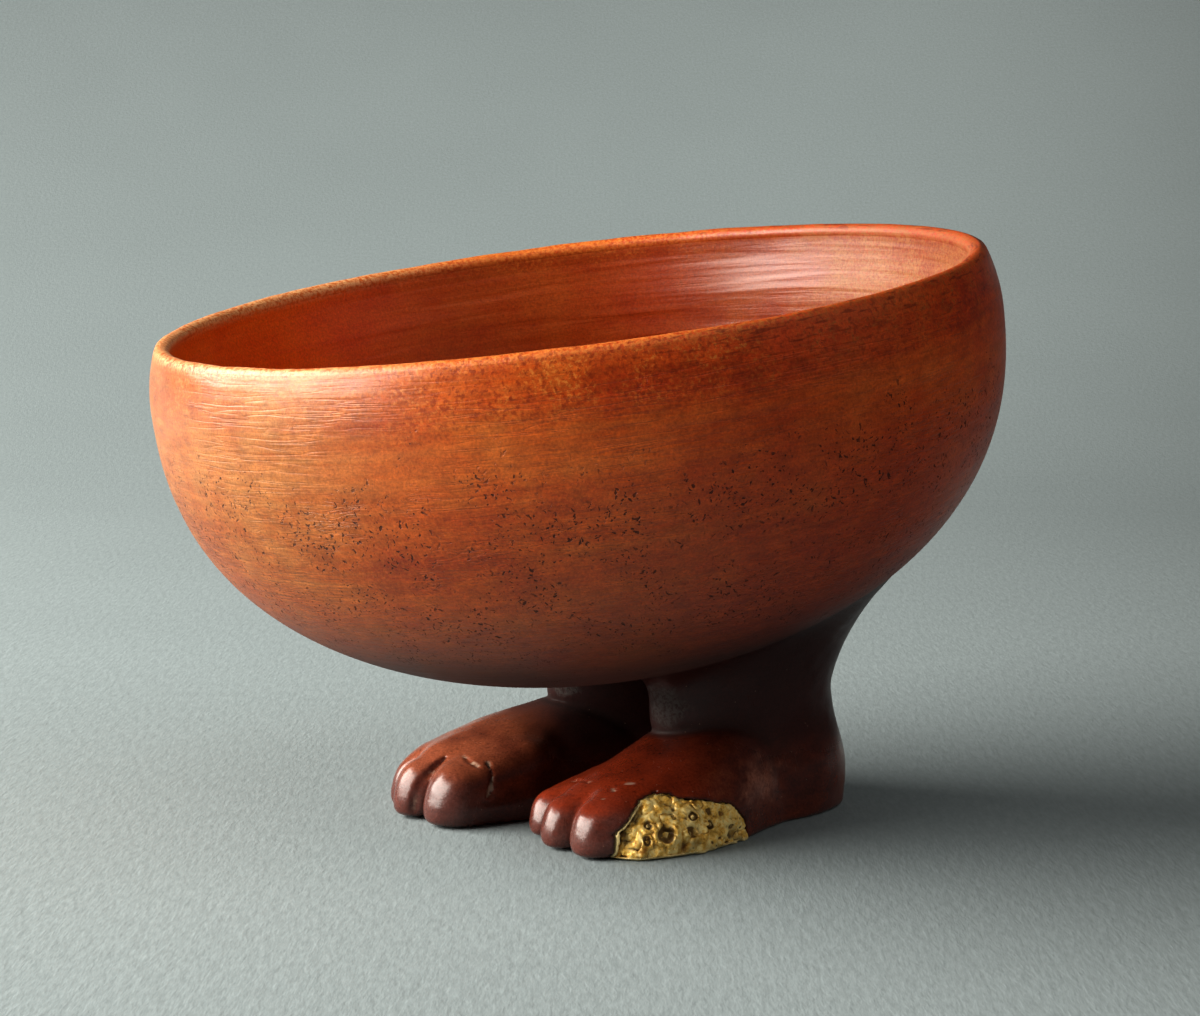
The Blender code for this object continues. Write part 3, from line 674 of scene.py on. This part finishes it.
# ---------------------------------------------------------------- materials
class Mat:
    def __init__(self, name):
        self.m = bpy.data.materials.new(name)
        self.m.use_nodes = True
        self.t = self.m.node_tree
        self.t.nodes.clear()
        self.out = self.t.nodes.new("ShaderNodeOutputMaterial")
        self.bsdf = self.t.nodes.new("ShaderNodeBsdfPrincipled")
        self.t.links.new(self.bsdf.outputs["BSDF"], self.out.inputs["Surface"])

    def put(self, socket, value):
        if isinstance(value, bpy.types.NodeSocket):
            self.t.links.new(value, socket)
        elif isinstance(value, (tuple, list)) and len(value) == 3 and socket.type == "RGBA":
            socket.default_value = (*value, 1.0)
        else:
            socket.default_value = value

    def set(self, name, value):
        self.put(self.bsdf.inputs[name], value)

    def node(self, kind, **props):
        n = self.t.nodes.new("ShaderNode" + kind)
        for k, v in props.items():
            setattr(n, k, v)
        return n

    def math(self, op, a, b=0.0, c=0.0, clamp=False):
        n = self.node("Math", operation=op, use_clamp=clamp)
        for i, v in enumerate((a, b, c)):
            self.put(n.inputs[i], v)
        return n.outputs[0]

    def add(self, *v):
        out = v[0]
        for x in v[1:]:
            out = self.math("ADD", out, x)
        return out

    def mul(self, *v):
        out = v[0]
        for x in v[1:]:
            out = self.math("MULTIPLY", out, x)
        return out

    def span(self, v, a, b, c=0.0, d=1.0, smooth=True):
        n = self.node("MapRange", interpolation_type="SMOOTHSTEP" if smooth else "LINEAR")
        for i, x in enumerate((v, a, b, c, d)):
            self.put(n.inputs[i], x)
        return n.outputs[0]

    def scaled(self, vec, by):
        n = self.node("VectorMath", operation="MULTIPLY")
        self.put(n.inputs[0], vec)
        n.inputs[1].default_value = by
        return n.outputs[0]

    def moved(self, vec, by):
        n = self.node("VectorMath", operation="ADD")
        self.put(n.inputs[0], vec)
        self.put(n.inputs[1], by)
        return n.outputs[0]

    def noise(self, vec, scale=1.0, detail=2.0, rough=0.5, warp=0.0):
        n = self.node("TexNoise")
        self.put(n.inputs["Vector"], vec)
        n.inputs["Scale"].default_value = scale
        n.inputs["Detail"].default_value = detail
        n.inputs["Roughness"].default_value = rough
        n.inputs["Distortion"].default_value = warp
        return n.outputs["Fac"]

    def cells(self, vec, scale=1.0):
        n = self.node("TexVoronoi")
        self.put(n.inputs["Vector"], vec)
        n.inputs["Scale"].default_value = scale
        sep = self.node("SeparateColor")
        self.put(sep.inputs[0], n.outputs["Color"])
        return n.outputs["Distance"], sep.outputs[0], sep.outputs[1]

    def strokes(self, turn, vec, scale, wide, long_, pick):
        """Short marks of random size and slant, one per cell of the wall."""
        cell = self.node("TexVoronoi")
        self.put(cell.inputs["Vector"], vec)
        cell.inputs["Scale"].default_value = scale
        off = self.node("VectorMath", operation="SUBTRACT")
        self.put(off.inputs[0], vec)
        self.put(off.inputs[1], cell.outputs["Position"])
        rnd = self.node("SeparateColor")
        self.put(rnd.inputs[0], cell.outputs["Color"])
        r, g, b = rnd.outputs
        at, d = self.node("SeparateXYZ"), self.node("SeparateXYZ")
        self.put(at.inputs[0], turn)
        self.put(d.inputs[0], off.outputs[0])
        along = self.mul(self.math("SUBTRACT", self.mul(d.outputs[1], at.outputs[0]), self.mul(d.outputs[0], at.outputs[1])), 1 / 60)
        down = d.outputs[2]
        slant = self.add(pi / 2, self.mul(self.add(r, -0.5), 2.3))
        c, s = self.math("COSINE", slant), self.math("SINE", slant)
        a = self.math("DIVIDE", self.add(self.mul(along, c), self.mul(down, s)), self.mul(long_, self.span(g, 0.0, 1.0, 0.30, 1.0)))
        e = self.math("DIVIDE", self.math("SUBTRACT", self.mul(down, c), self.mul(along, s)), self.mul(wide, self.span(b, 0.0, 1.0, 0.55, 1.1)))
        far = self.math("SQRT", self.add(self.mul(a, a), self.mul(e, e)))
        chosen = self.math("FRACT", self.add(self.mul(r, 7.31), self.mul(g, 3.77)))
        return self.mul(self.span(far, 1.0, 0.66), self.span(chosen, pick, pick - 0.04))

    def ramp(self, fac, stops):
        n = self.node("ValToRGB")
        e = n.color_ramp.elements
        while len(e) < len(stops):
            e.new(0.5)
        for x, (pos, col) in zip(e, stops):
            x.position = pos
            x.color = (*col, 1.0) if not isinstance(col, float) else (col, col, col, 1.0)
        self.put(n.inputs[0], fac)
        return n.outputs["Color"]

    def mix(self, fac, a, b, blend="MIX"):
        n = self.node("Mix", data_type="RGBA", blend_type=blend)
        self.put(n.inputs[0], fac)
        self.put(n.inputs[6], a)
        self.put(n.inputs[7], b)
        return n.outputs[2]

    def either(self, fac, a, b):
        n = self.node("Mix", data_type="FLOAT")
        self.put(n.inputs[0], fac)
        self.put(n.inputs[2], a)
        self.put(n.inputs[3], b)
        return n.outputs[0]

    def attr(self, name, kind="Fac"):
        return self.node("Attribute", attribute_name=name).outputs[kind]

    def here(self):
        """Object coordinates in millimetres."""
        return self.scaled(self.node("TexCoord").outputs["Object"], (1000.0, 1000.0, 1000.0))

    def bump(self, height, strength=1.0):
        """height in millimetres"""
        n = self.node("Bump")
        n.inputs["Strength"].default_value = strength
        n.inputs["Distance"].default_value = MM
        self.put(n.inputs["Height"], height)
        return n.outputs["Normal"]


def clay(name, shine):
    """Burnished clay: bright and streaked on the bowl, dark chestnut on the feet."""
    m = Mat(name)
    pos, turn, leg = m.here(), m.attr("turn", "Vector"), m.attr("leg")
    sep = m.node("SeparateXYZ")
    m.put(sep.inputs[0], turn)
    s = sep.outputs[2]
    blot = m.noise(pos, 0.032, 3.0, 0.55)
    long = m.noise(m.scaled(turn, (0.018, 0.018, 0.20)), 1.0, 4.0, 0.55, 0.3)
    fine = m.noise(m.scaled(turn, (0.05, 0.05, 0.85)), 1.0, 3.0, 0.6, 0.2)
    hair = m.noise(m.scaled(turn, (0.13, 0.13, 3.0)), 1.0, 2.0, 0.6)
    grain = m.noise(pos, 1.7, 3.0, 0.65)
    dust = m.noise(pos, 5.0, 1.0, 0.5)
    cloud = m.noise(pos, 0.17, 4.0, 0.62)
    speck = m.noise(pos, 2.6, 2.0, 0.65)

    back = m.node("VectorMath", operation="DOT_PRODUCT")
    m.put(back.inputs[0], pos)
    back.inputs[1].default_value = (0.634, 0.773, 0.0)
    left_of = back.outputs["Value"]

    # bands down the outer wall, from the lip
    sw = m.add(s, m.mul(m.add(blot, -0.5), 9.0), m.mul(m.add(long, -0.5), 5.0))
    band = m.ramp(m.math("DIVIDE", sw, 80.0, clamp=True),
                  [(0.0, 0.56), (0.05, 0.50), (0.10, 0.48), (0.15, 0.64), (0.25, 0.64),
                   (0.34, 0.50), (0.45, 0.54), (0.58, 0.50), (0.8, 0.44)])
    # the last term is painted highlight: a lighter tone on the window side just under the lip
    tone = m.add(0.5, m.mul(m.add(band, -0.5), 0.75), m.mul(m.add(long, -0.5), 0.42),
                 m.mul(m.add(fine, -0.5), 0.26), m.mul(m.add(blot, -0.5), 0.60),
                 m.mul(m.add(hair, -0.5), 0.12), m.mul(m.add(cloud, -0.5), 0.50),
                 m.mul(m.span(left_of, -5.0, -35.0), m.span(s, 18.0, 8.0), 0.09))
    colour = m.ramp(tone, [(0.10, (0.180, 0.0150, 0.0022)), (0.34, (0.300, 0.0340, 0.0036)),
                           (0.52, (0.400, 0.0680, 0.0062)), (0.70, (0.458, 0.1090, 0.0140)),
                           (0.92, (0.500, 0.1580, 0.0280))])
    colour = m.mix(m.span(grain, 0.34, 0.72, 0.0, 0.34), colour, (0.52, 0.120, 0.014), "MIX")
    colour = m.mix(m.span(m.noise(pos, 1.1, 3.0, 0.7), 0.56, 0.74, 0.0, 0.35), colour, (0.20, 0.016, 0.0022))
    colour = m.mix(m.span(dust, 0.60, 0.80, 0.0, 0.30), colour, (0.12, 0.010, 0.0022))

    # painted shade: the clay is redder and darker towards the side away from the window, and darker inside
    colour = m.mix(m.span(m.add(back.outputs["Value"], m.mul(m.add(blot, -0.5), 36.0)), -14.0, 32.0, 0.0, 0.88),
                   colour, (0.95, 0.62, 0.55), "MULTIPLY")
    side = left_of
    outside = m.span(s, 0.5, 4.0)
    mottle = m.noise(m.scaled(turn, (0.30, 0.30, 0.70)), 1.0, 4.0, 0.72)
    colour = m.mix(outside, colour, m.span(mottle, 0.32, 0.68, 0.78, 1.22, False), "MULTIPLY")
    # painted sheen: the outer wall is paler and yellower on the window side, most towards the lip
    sheen_paling = m.mul(outside, m.span(m.add(side, m.mul(m.add(cloud, -0.5), 24.0)), -12.0, -44.0), m.span(s, 46.0, 22.0, 0.35, 1.0))
    colour = m.mix(sheen_paling, colour, (0.79, 1.28, 2.60), "MULTIPLY")
    # painted light and shade inside the bowl: darker all over, darker again from the middle to the right, paler on the
    # right wall as painted sheen, and redder and brighter on the far left wall as painted bounce light
    inside = m.span(s, -1.0, -3.5)
    colour = m.mix(inside, colour, (0.82, 0.64, 0.56), "MULTIPLY")
    colour = m.mix(m.mul(inside, m.span(side, -40.0, 5.0)), colour, (0.70, 0.78, 0.79), "MULTIPLY")
    colour = m.mix(m.mul(inside, m.span(side, 8.0, 30.0)), colour, (0.86, 1.22, 1.20), "MULTIPLY")
    colour = m.mix(m.mul(inside, m.span(side, -20.0, -48.0)), colour, (1.60, 1.15, 0.35), "MULTIPLY")
    sand = m.mul(m.span(s, 0.4, -1.8), m.span(m.add(side, m.mul(m.add(cloud, -0.5), 16.0)), 34.0, 48.0))
    colour = m.mix(m.mul(sand, m.span(grain, 0.38, 0.56, 0.15, 0.95), m.span(cloud, 0.36, 0.58, 0.45, 1.0)), colour, (0.235, 0.092, 0.026))
    colour = m.mix(1.0, colour, m.span(speck, 0.28, 0.72, 0.76, 1.24, False), "MULTIPLY")

    # worn ochre on the lip and in flecks under it; on the lip it is painted paler on the window side as painted
    # highlight and darker on the far side as painted shade
    worn = m.mul(m.span(m.math("ABSOLUTE", m.add(s, 0.3)), 3.2, 0.8), m.span(grain, 0.36, 0.62))
    fleck = m.mul(m.span(m.math("ABSOLUTE", m.add(s, -3.0)), 10.0, 1.0), m.span(grain, 0.50, 0.66),
                  m.span(cloud, 0.38, 0.60), m.span(side, -42.0, -15.0, 0.2, 1.0))
    ochre = m.mix(m.span(side, -15.0, -45.0), (0.58, 0.200, 0.036), (0.74, 0.430, 0.200))
    ochre = m.mix(m.span(side, 5.0, 40.0), ochre, (0.25, 0.078, 0.015))
    colour = m.mix(m.math("MAXIMUM", m.mul(worn, 0.80), m.mul(fleck, 0.80)), colour, ochre)
    stain = m.mul(m.span(m.math("ABSOLUTE", m.add(s, -5.0)), 9.0, 2.0), m.span(m.noise(pos, 1.2, 3.0, 0.65), 0.52, 0.64),
                  m.span(side, -45.0, -15.0, 0.3, 1.0))
    colour = m.mix(m.mul(stain, 0.65), colour, (0.19, 0.021, 0.003))
    dash = m.mul(m.span(m.noise(m.scaled(turn, (0.22, 0.22, 1.5)), 1.0, 2.0, 0.6), 0.57, 0.64),
                 m.span(s, 12.0, 1.0), m.span(s, -2.5, -1.0), m.span(side, -5.0, 25.0))
    colour = m.mix(m.mul(dash, 0.62), colour, (0.125, 0.015, 0.0028))

    # pits: short strokes, mostly upright or aslant, thick in two bands
    belt = m.ramp(m.math("DIVIDE", sw, 80.0, clamp=True),
                  [(0.0, 0.10), (0.16, 0.22), (0.25, 0.72), (0.34, 0.85), (0.41, 0.55),
                   (0.48, 0.68), (0.60, 0.66), (0.70, 0.40), (0.9, 0.25)])
    crowd = m.span(m.add(m.noise(pos, 0.15, 3.0, 0.6), m.mul(m.add(belt, -0.5), 0.46)), 0.45, 0.66)
    shake = m.node("TexNoise")
    m.put(shake.inputs["Vector"], pos)
    shake.inputs["Scale"].default_value = 1.6
    shaken = m.moved(turn, m.scaled(m.moved(shake.outputs["Color"], (-0.5, -0.5, -0.5)), (0.7, 0.7, 0.7)))
    pit = None
    for scale, wide, long_, pick, push in ((0.55, 0.19, 0.62, 0.34, 0.0), (0.80, 0.16, 0.34, 0.32, 13.0),
                                           (1.25, 0.13, 0.17, 0.36, 31.0), (0.66, 0.13, 0.50, 0.34, 57.0)):
        hole = m.strokes(turn, m.moved(shaken, (push, push, push)), scale, wide, long_, pick)
        pit = hole if pit is None else m.math("MAXIMUM", pit, hole)
    few = m.either(outside, 0.04, crowd)
    pit = m.mul(pit, few)
    # the pits' dark colour is painted shade in their hollows
    colour = m.mix(m.mul(pit, 0.86), colour, (0.030, 0.0055, 0.0024))

    # painted shade: the underside darkens towards the bottom
    colour = m.mix(m.span(m.add(s, m.mul(m.add(blot, -0.5), 16.0)), 36.0, 66.0, 0.0, 0.93), colour, (0.028, 0.0046, 0.0026))

    # the feet: chestnut, painted redder and lighter on the lit insteps as painted light, and nearly black up the legs
    # as painted shade under the bowl
    deep = m.noise(pos, 0.075, 4.0, 0.55)
    vein = m.noise(m.scaled(pos, (0.25, 0.25, 0.6)), 1.0, 4.0, 0.6)
    dark = m.ramp(m.add(0.5, m.mul(m.add(deep, -0.5), 1.0), m.mul(m.add(vein, -0.5), 0.7),
                        m.mul(m.add(grain, -0.5), 0.25)),
                  [(0.15, (0.036, 0.0070, 0.0046)), (0.42, (0.088, 0.0150, 0.0076)),
                   (0.62, (0.132, 0.0235, 0.0095)), (0.90, (0.240, 0.060, 0.0230))])
    spot = m.node("SeparateXYZ")
    m.put(spot.inputs[0], pos)
    # painted light: the lit instep tops are painted redder and lighter, paler still on the right foot, which the
    # window lights more
    lit_instep_colour = m.mix(m.span(spot.outputs[0], 4.0, -6.0), (0.270, 0.0330, 0.0070), (0.295, 0.0870, 0.0390))
    dark = m.mix(m.mul(m.attr("lit_instep"), m.span(deep, 0.30, 0.62, 0.25, 0.80)), dark, lit_instep_colour)
    dark = m.mix(m.mul(m.attr("toe"), m.span(vein, 0.30, 0.62, 0.40, 0.88)), dark, (0.100, 0.0350, 0.0275))
    # painted shade: nearly black up the legs, under the bowl
    dark = m.mix(m.mul(m.attr("high"), 0.90), dark, (0.036, 0.0062, 0.0050))
    dark = m.mix(m.span(dust, 0.58, 0.78, 0.0, 0.4), dark, (0.02, 0.005, 0.004))
    # painted shade darkens the crease between leg and instep
    dark = m.mix(m.mul(m.attr("shaded_crease"), 0.75), dark, (0.020, 0.0055, 0.0040))
    dark = m.mix(1.0, dark, m.span(speck, 0.28, 0.72, 0.72, 1.28, False), "MULTIPLY")
    dark = m.mix(m.span(m.noise(pos, 0.9, 4.0, 0.7), 0.56, 0.72, 0.0, 0.55), dark, (0.034, 0.0085, 0.0055))
    mote = m.cells(pos, 1.3)
    mote = m.mul(m.span(mote[0], 0.16, 0.08), m.span(mote[1], 0.90, 0.94))
    dark = m.mix(m.mul(mote, 0.55), dark, (0.36, 0.22, 0.15))
    # worn lighter patch at the ankle and heel, partly painted light on the shaded heel
    dark = m.mix(m.mul(m.attr("rubbed"), m.span(vein, 0.30, 0.60, 0.30, 0.85), m.span(grain, 0.34, 0.60, 0.45, 1.0)), dark, (0.350, 0.125, 0.075))
    scuff_and_sheen, chip = m.attr("scuff_and_sheen"), m.attr("chip")
    # painted reflection: the scuffed patches on the leg fronts are painted grey where they reflect the window
    grey_sheen = m.mul(scuff_and_sheen, m.span(grain, 0.36, 0.58, 0.25, 1.0))
    dark = m.mix(m.mul(grey_sheen, 0.85), dark, (0.105, 0.085, 0.078))
    dark = m.mix(m.mul(chip, 0.75), dark, (0.42, 0.30, 0.22))
    dark = m.mix(m.mul(m.attr("broken"), 0.6), dark, (0.030, 0.010, 0.006))
    colour = m.mix(leg, colour, dark)

    # burnishing grooves and scratches
    wavy = m.noise(m.scaled(turn, (0.065, 0.065, 0.85)), 1.0, 2.0, 0.5, 0.6)
    groove = m.math("POWER", m.math("SUBTRACT", 1.0, m.math("ABSOLUTE", m.mul(m.add(wavy, -0.5), 6.0)), clamp=True), 3.0)
    where = m.mul(m.span(m.noise(turn, 0.055, 2.0, 0.5), 0.38, 0.60), m.span(s, 3.5, 8.0, 0.25, 1.0))
    body = m.math("SUBTRACT", 1.0, leg)
    bent = m.noise(m.scaled(turn, (0.17, 0.17, 1.05)), 1.0, 2.0, 0.5, 1.0)
    wrinkle = m.mul(m.math("POWER", m.math("SUBTRACT", 1.0, m.math("ABSOLUTE", m.mul(m.add(bent, -0.5), 7.0)), clamp=True), 3.0),
                    m.span(m.noise(turn, 0.085, 2.0, 0.5), 0.46, 0.60), m.span(s, 14.0, 22.0), m.span(s, 58.0, 44.0))
    ridge = m.noise(m.scaled(turn, (0.030, 0.030, 0.50)), 1.0, 1.0, 0.5, 0.4)
    within = m.mul(m.span(s, -1.5, -4.0), m.span(s, -78.0, -48.0, 0.15, 1.0))
    lip = m.span(m.math("ABSOLUTE", s), 2.4, 0.8)
    high = m.add(m.mul(m.add(fine, -0.5), 0.050, body), m.mul(m.add(hair, -0.5), 0.018, body),
                 m.mul(groove, where, body, -0.045), m.mul(wrinkle, body, -0.050), m.mul(m.add(ridge, -0.5), within, 0.30),
                 m.mul(m.add(grain, -0.5), 0.022), m.mul(m.add(dust, -0.5), 0.006),
                 m.mul(m.add(grain, -0.5), lip, 0.10),
                 m.mul(pit, -0.13, body), m.mul(m.add(vein, -0.5), leg, 0.05),
                 m.mul(m.add(grain, -0.5), scuff_and_sheen, 0.30), m.mul(chip, 0.05))
    m.set("Base Color", colour)
    m.set("Roughness", m.add(m.either(leg, 0.40, 0.22), m.mul(m.add(fine, -0.5), 0.16),
                             m.mul(m.add(grain, -0.5), 0.10), m.mul(pit, 0.45), m.mul(scuff_and_sheen, 0.40), m.mul(lip, 0.06), m.mul(sand, 0.22),
                             m.mul(m.add(m.mul(m.attr("shaded_crease"), 0.45), m.mul(m.attr("high"), 0.22), m.mul(m.attr("toe"), 0.05),
                                         m.mul(m.attr("high"), m.span(spot.outputs[0], 0.0, -6.0), 0.40)), leg),
                             m.mul(m.span(s, 38.0, 66.0, 0.0, 0.30), body), m.mul(within, -0.07),
                             m.mul(outside, m.span(s, 10.0, 3.0), -0.09)))
    m.bsdf.inputs["IOR"].default_value = 1.5
    m.bsdf.inputs["Specular IOR Level"].default_value = shine
    m.bsdf.inputs["Coat Weight"].default_value = 0.09
    m.bsdf.inputs["Coat Roughness"].default_value = 0.26
    m.set("Normal", m.bump(high))
    return m


def gilt():
    m = Mat("gilt_fill")
    pos, brown_and_shade, rim = m.here(), m.attr("brown_and_shade"), m.attr("rim")
    a = m.noise(pos, 0.55, 4.0, 0.6)
    b = m.noise(pos, 2.2, 3.0, 0.6)
    c = m.noise(pos, 7.0, 2.0, 0.6)
    gold = m.ramp(m.add(m.mul(a, 0.75), m.mul(b, 0.25)),
                  [(0.34, (0.40, 0.180, 0.022)), (0.46, (0.86, 0.530, 0.105)), (0.58, (1.00, 0.790, 0.340))])
    # the fill's brown rings and patches, and painted shade in its hollows, slit and bottom
    brown_and_shade_mix = m.math("MAXIMUM", m.mul(brown_and_shade, m.span(b, 0.15, 0.45)), m.mul(m.span(b, 0.56, 0.70), 0.35))
    tint = m.mix(m.mul(brown_and_shade_mix, 0.90), gold, (0.075, 0.028, 0.006))
    m.set("Base Color", m.mix(m.mul(rim, 0.85), tint, (0.74, 0.60, 0.30)))
    m.set("Metallic", m.span(brown_and_shade_mix, 0.35, 0.8, 0.20, 0.0))
    m.set("Roughness", m.add(0.22, m.mul(b, 0.20), m.mul(brown_and_shade_mix, 0.25)))
    m.set("Normal", m.bump(m.add(m.mul(b, 0.06), m.mul(c, 0.02))))
    return m


def slip():
    m = Mat("fired_slip_look")
    pos = m.here()
    n = m.noise(pos, 0.6, 4.0, 0.6)
    m.set("Base Color", m.ramp(n, [(0.3, (0.20, 0.06, 0.03)), (0.7, (0.36, 0.13, 0.07))]))
    m.set("Roughness", m.span(n, 0.2, 0.8, 0.75, 0.95))
    return m


def paper():
    m = Mat("plain_floor_look")
    pos = m.here()
    # laid paper: fine fibres that run away from the front of the table
    across, away = (0.634, 0.773, 0.0), (-0.170, 0.139, 1.0)
    laid = m.node("CombineXYZ")
    for i, way in enumerate((across, away)):
        dot = m.node("VectorMath", operation="DOT_PRODUCT")
        m.put(dot.inputs[0], pos)
        dot.inputs[1].default_value = way
        m.put(laid.inputs[i], dot.outputs["Value"])
    grid = laid.outputs[0]
    a = m.noise(grid, 0.80, 2.0, 0.6)
    b = m.noise(grid, 2.0, 2.0, 0.6)
    cloud = m.noise(pos, 0.012, 2.0, 0.5)
    tint = m.ramp(m.add(m.mul(a, 0.40), m.mul(b, 0.50), m.mul(cloud, 0.10)),
                  [(0.25, (0.195, 0.229, 0.235)), (0.75, (0.292, 0.341, 0.352))])
    # painted shade: the floor darkens to the right of the bowl, where the window's light falls off, and in front of it
    edge = None
    for along, offset, soft in (((0.634 + 0.218 * 0.773, 0.773 - 0.218 * 0.634, 0.0), -90.0, 560.0),
                                ((0.773, -0.634, 0.0), 190.0, 120.0)):
        side = m.node("VectorMath", operation="DOT_PRODUCT")
        m.put(side.inputs[0], pos)
        side.inputs[1].default_value = along
        e = m.span(side.outputs["Value"], offset, offset + soft, 0.0, 0.97)
        edge = e if edge is None else m.math("MAXIMUM", edge, e)
    sep = m.node("SeparateXYZ")
    m.put(sep.inputs[0], pos)
    # painted shade: the backdrop darkens as it rises
    tint = m.mix(m.span(sep.outputs[2], 10.0, 460.0, 0.0, 0.33), tint, (0.03, 0.032, 0.032))
    m.set("Base Color", m.mix(edge, tint, (0.03, 0.032, 0.032)))
    m.set("Roughness", m.span(b, 0.2, 0.8, 0.75, 0.92))
    m.bsdf.inputs["Specular IOR Level"].default_value = 0.25
    m.set("Normal", m.bump(m.add(m.mul(a, 0.10), m.mul(b, 0.05))))
    return m


# ------------------------------------------------------------------- pieces
bowl_clay = clay("burnished_clay_look", 0.44)
foot_clay = clay("dark_burnished_clay_look", 0.42)
gold = gilt()
lute = slip()
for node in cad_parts.values():
    node.data.materials.clear()
    node.data.materials.append(
        {"bowl": bowl_clay, "toe_mend": gold}.get(node.name, lute if "slip" in node.name else foot_clay).m)

bowl = build_bowl(bowl_clay.m)
left = build_foot("left_foot_clay", "left", foot_clay.m)
right = build_foot("right_foot_clay", "right", foot_clay.m)
mend = build_mend(gold.m)
for piece, slot_name, nodes in ((bowl, "burnished_clay", ["bowl"]),
                                (left, "dark_burnished_clay", ["left_foot", "left_slip_joint"]),
                                (right, "dark_burnished_clay", ["right_foot", "right_slip_joint"]),
                                (mend, "gilded_fill", ["toe_mend"])):
    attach(piece, "root")
    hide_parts(*nodes)


# -------------------------------------------------------------------- stage
def dish():
    """Floor that sweeps up behind the bowl, so that no edge shows; flat under the window."""
    prof = [(r, 0.0) for r in (0.05, 0.1, 0.2, 0.35, 0.5)]
    for i in range(1, 25):
        a = 0.95 * i / 24
        prof.append((0.5 + 0.8 * sin(a), 0.8 - 0.8 * cos(a)))
    seg = 128
    verts = [(0.0, 0.0, 0.0)]
    for r, z in prof:
        for i in range(seg):
            x, y = cos(2 * pi * i / seg), sin(2 * pi * i / seg)
            low = float(ramp01(x * sin(WINDOW) - y * cos(WINDOW), 0.60, 0.77))
            verts.append((r * x * (1 + 0.5 * low * (r > 0.5)), r * y * (1 + 0.5 * low * (r > 0.5)), z * (1 - low)))
    faces = [(0, 1 + i, 1 + (i + 1) % seg) for i in range(seg)]
    for k in range(len(prof) - 1):
        a, b = 1 + k * seg, 1 + (k + 1) * seg
        faces += [(a + i, b + i, b + (i + 1) % seg, a + (i + 1) % seg) for i in range(seg)]
    mesh = bpy.data.meshes.new("floor")
    mesh.from_pydata(verts, [], faces)
    mesh.update()
    mesh.shade_smooth()
    mesh.materials.append(paper().m)
    obj = bpy.data.objects.new("floor", mesh)
    bpy.context.scene.collection.objects.link(obj)


WINDOW = radians(-38)
dish()


def panel(name, turn, rise, away, wide, tall, watts, colour, aim=(0.0, 0.0, 0.05)):
    """Soft box; turn is from straight ahead of the toes towards the left foot."""
    a, e = radians(turn), radians(rise)
    light = bpy.data.lights.new(name, "AREA")
    light.shape, light.size, light.size_y = "RECTANGLE", wide, tall
    light.energy, light.color = watts, colour
    obj = bpy.data.objects.new(name, light)
    spot = Vector((sin(a) * cos(e), -cos(a) * cos(e), sin(e))) * away + Vector(aim)
    obj.location = spot
    obj.rotation_euler = (spot - Vector(aim)).to_track_quat("Z", "Y").to_euler()
    obj.visible_camera = False
    bpy.context.scene.collection.objects.link(obj)
    return obj


panel("window", -35, 27, 1.30, 1.60, 0.95, 73.0, (1.0, 0.955, 0.885))
panel("fill", 124, 16, 1.2, 0.8, 0.8, 3.2, (1.0, 0.97, 0.93)).visible_glossy = False
panel("overhead", 80, 58, 1.2, 1.2, 1.2, 6.5, (1.0, 0.965, 0.92)).visible_glossy = False
low = bpy.data.lights.new("window_low", "AREA")
low.shape, low.size, low.size_y, low.energy, low.color = "RECTANGLE", 0.90, 0.60, 1.5, (1.0, 0.955, 0.885)
low_obj = bpy.data.objects.new("window_low", low)
low_obj.location = (sin(WINDOW) * 0.56, -cos(WINDOW) * 0.56, 0.004)
low_obj.rotation_euler = (pi, 0.0, WINDOW)
low_obj.visible_camera = False
bpy.context.scene.collection.objects.link(low_obj)

world = bpy.data.worlds.new("room")
world.use_nodes = True
world.node_tree.nodes["Background"].inputs[0].default_value = (0.95, 1.0, 1.02, 1.0)
world.node_tree.nodes["Background"].inputs[1].default_value = 0.03
bpy.context.scene.world = world
bpy.context.scene.view_settings.view_transform = "Standard"
bpy.context.scene.view_settings.gamma = 0.85

# ------------------------------------------------------------------- camera
PHI, EL = radians(39.390), radians(6.0)
right_v = Vector((sin(PHI), cos(PHI), 0.0))
back_v = Vector((cos(PHI) * cos(EL), -sin(PHI) * cos(EL), sin(EL)))
up_v = back_v.cross(right_v)
cam = bpy.data.objects.new("camera", bpy.data.cameras.new("camera"))
cam.data.sensor_width, cam.data.lens = 36.0, 82.867
cam.data.clip_start, cam.data.clip_end = 0.01, 20.0
spin = Matrix((right_v, up_v, back_v)).transposed().to_4x4()
cam.matrix_world = Matrix.Translation(Vector((339.084, -273.602 - SHIFT, 95.957)) * MM) @ spin
bpy.context.scene.collection.objects.link(cam)
bpy.context.scene.camera = cam
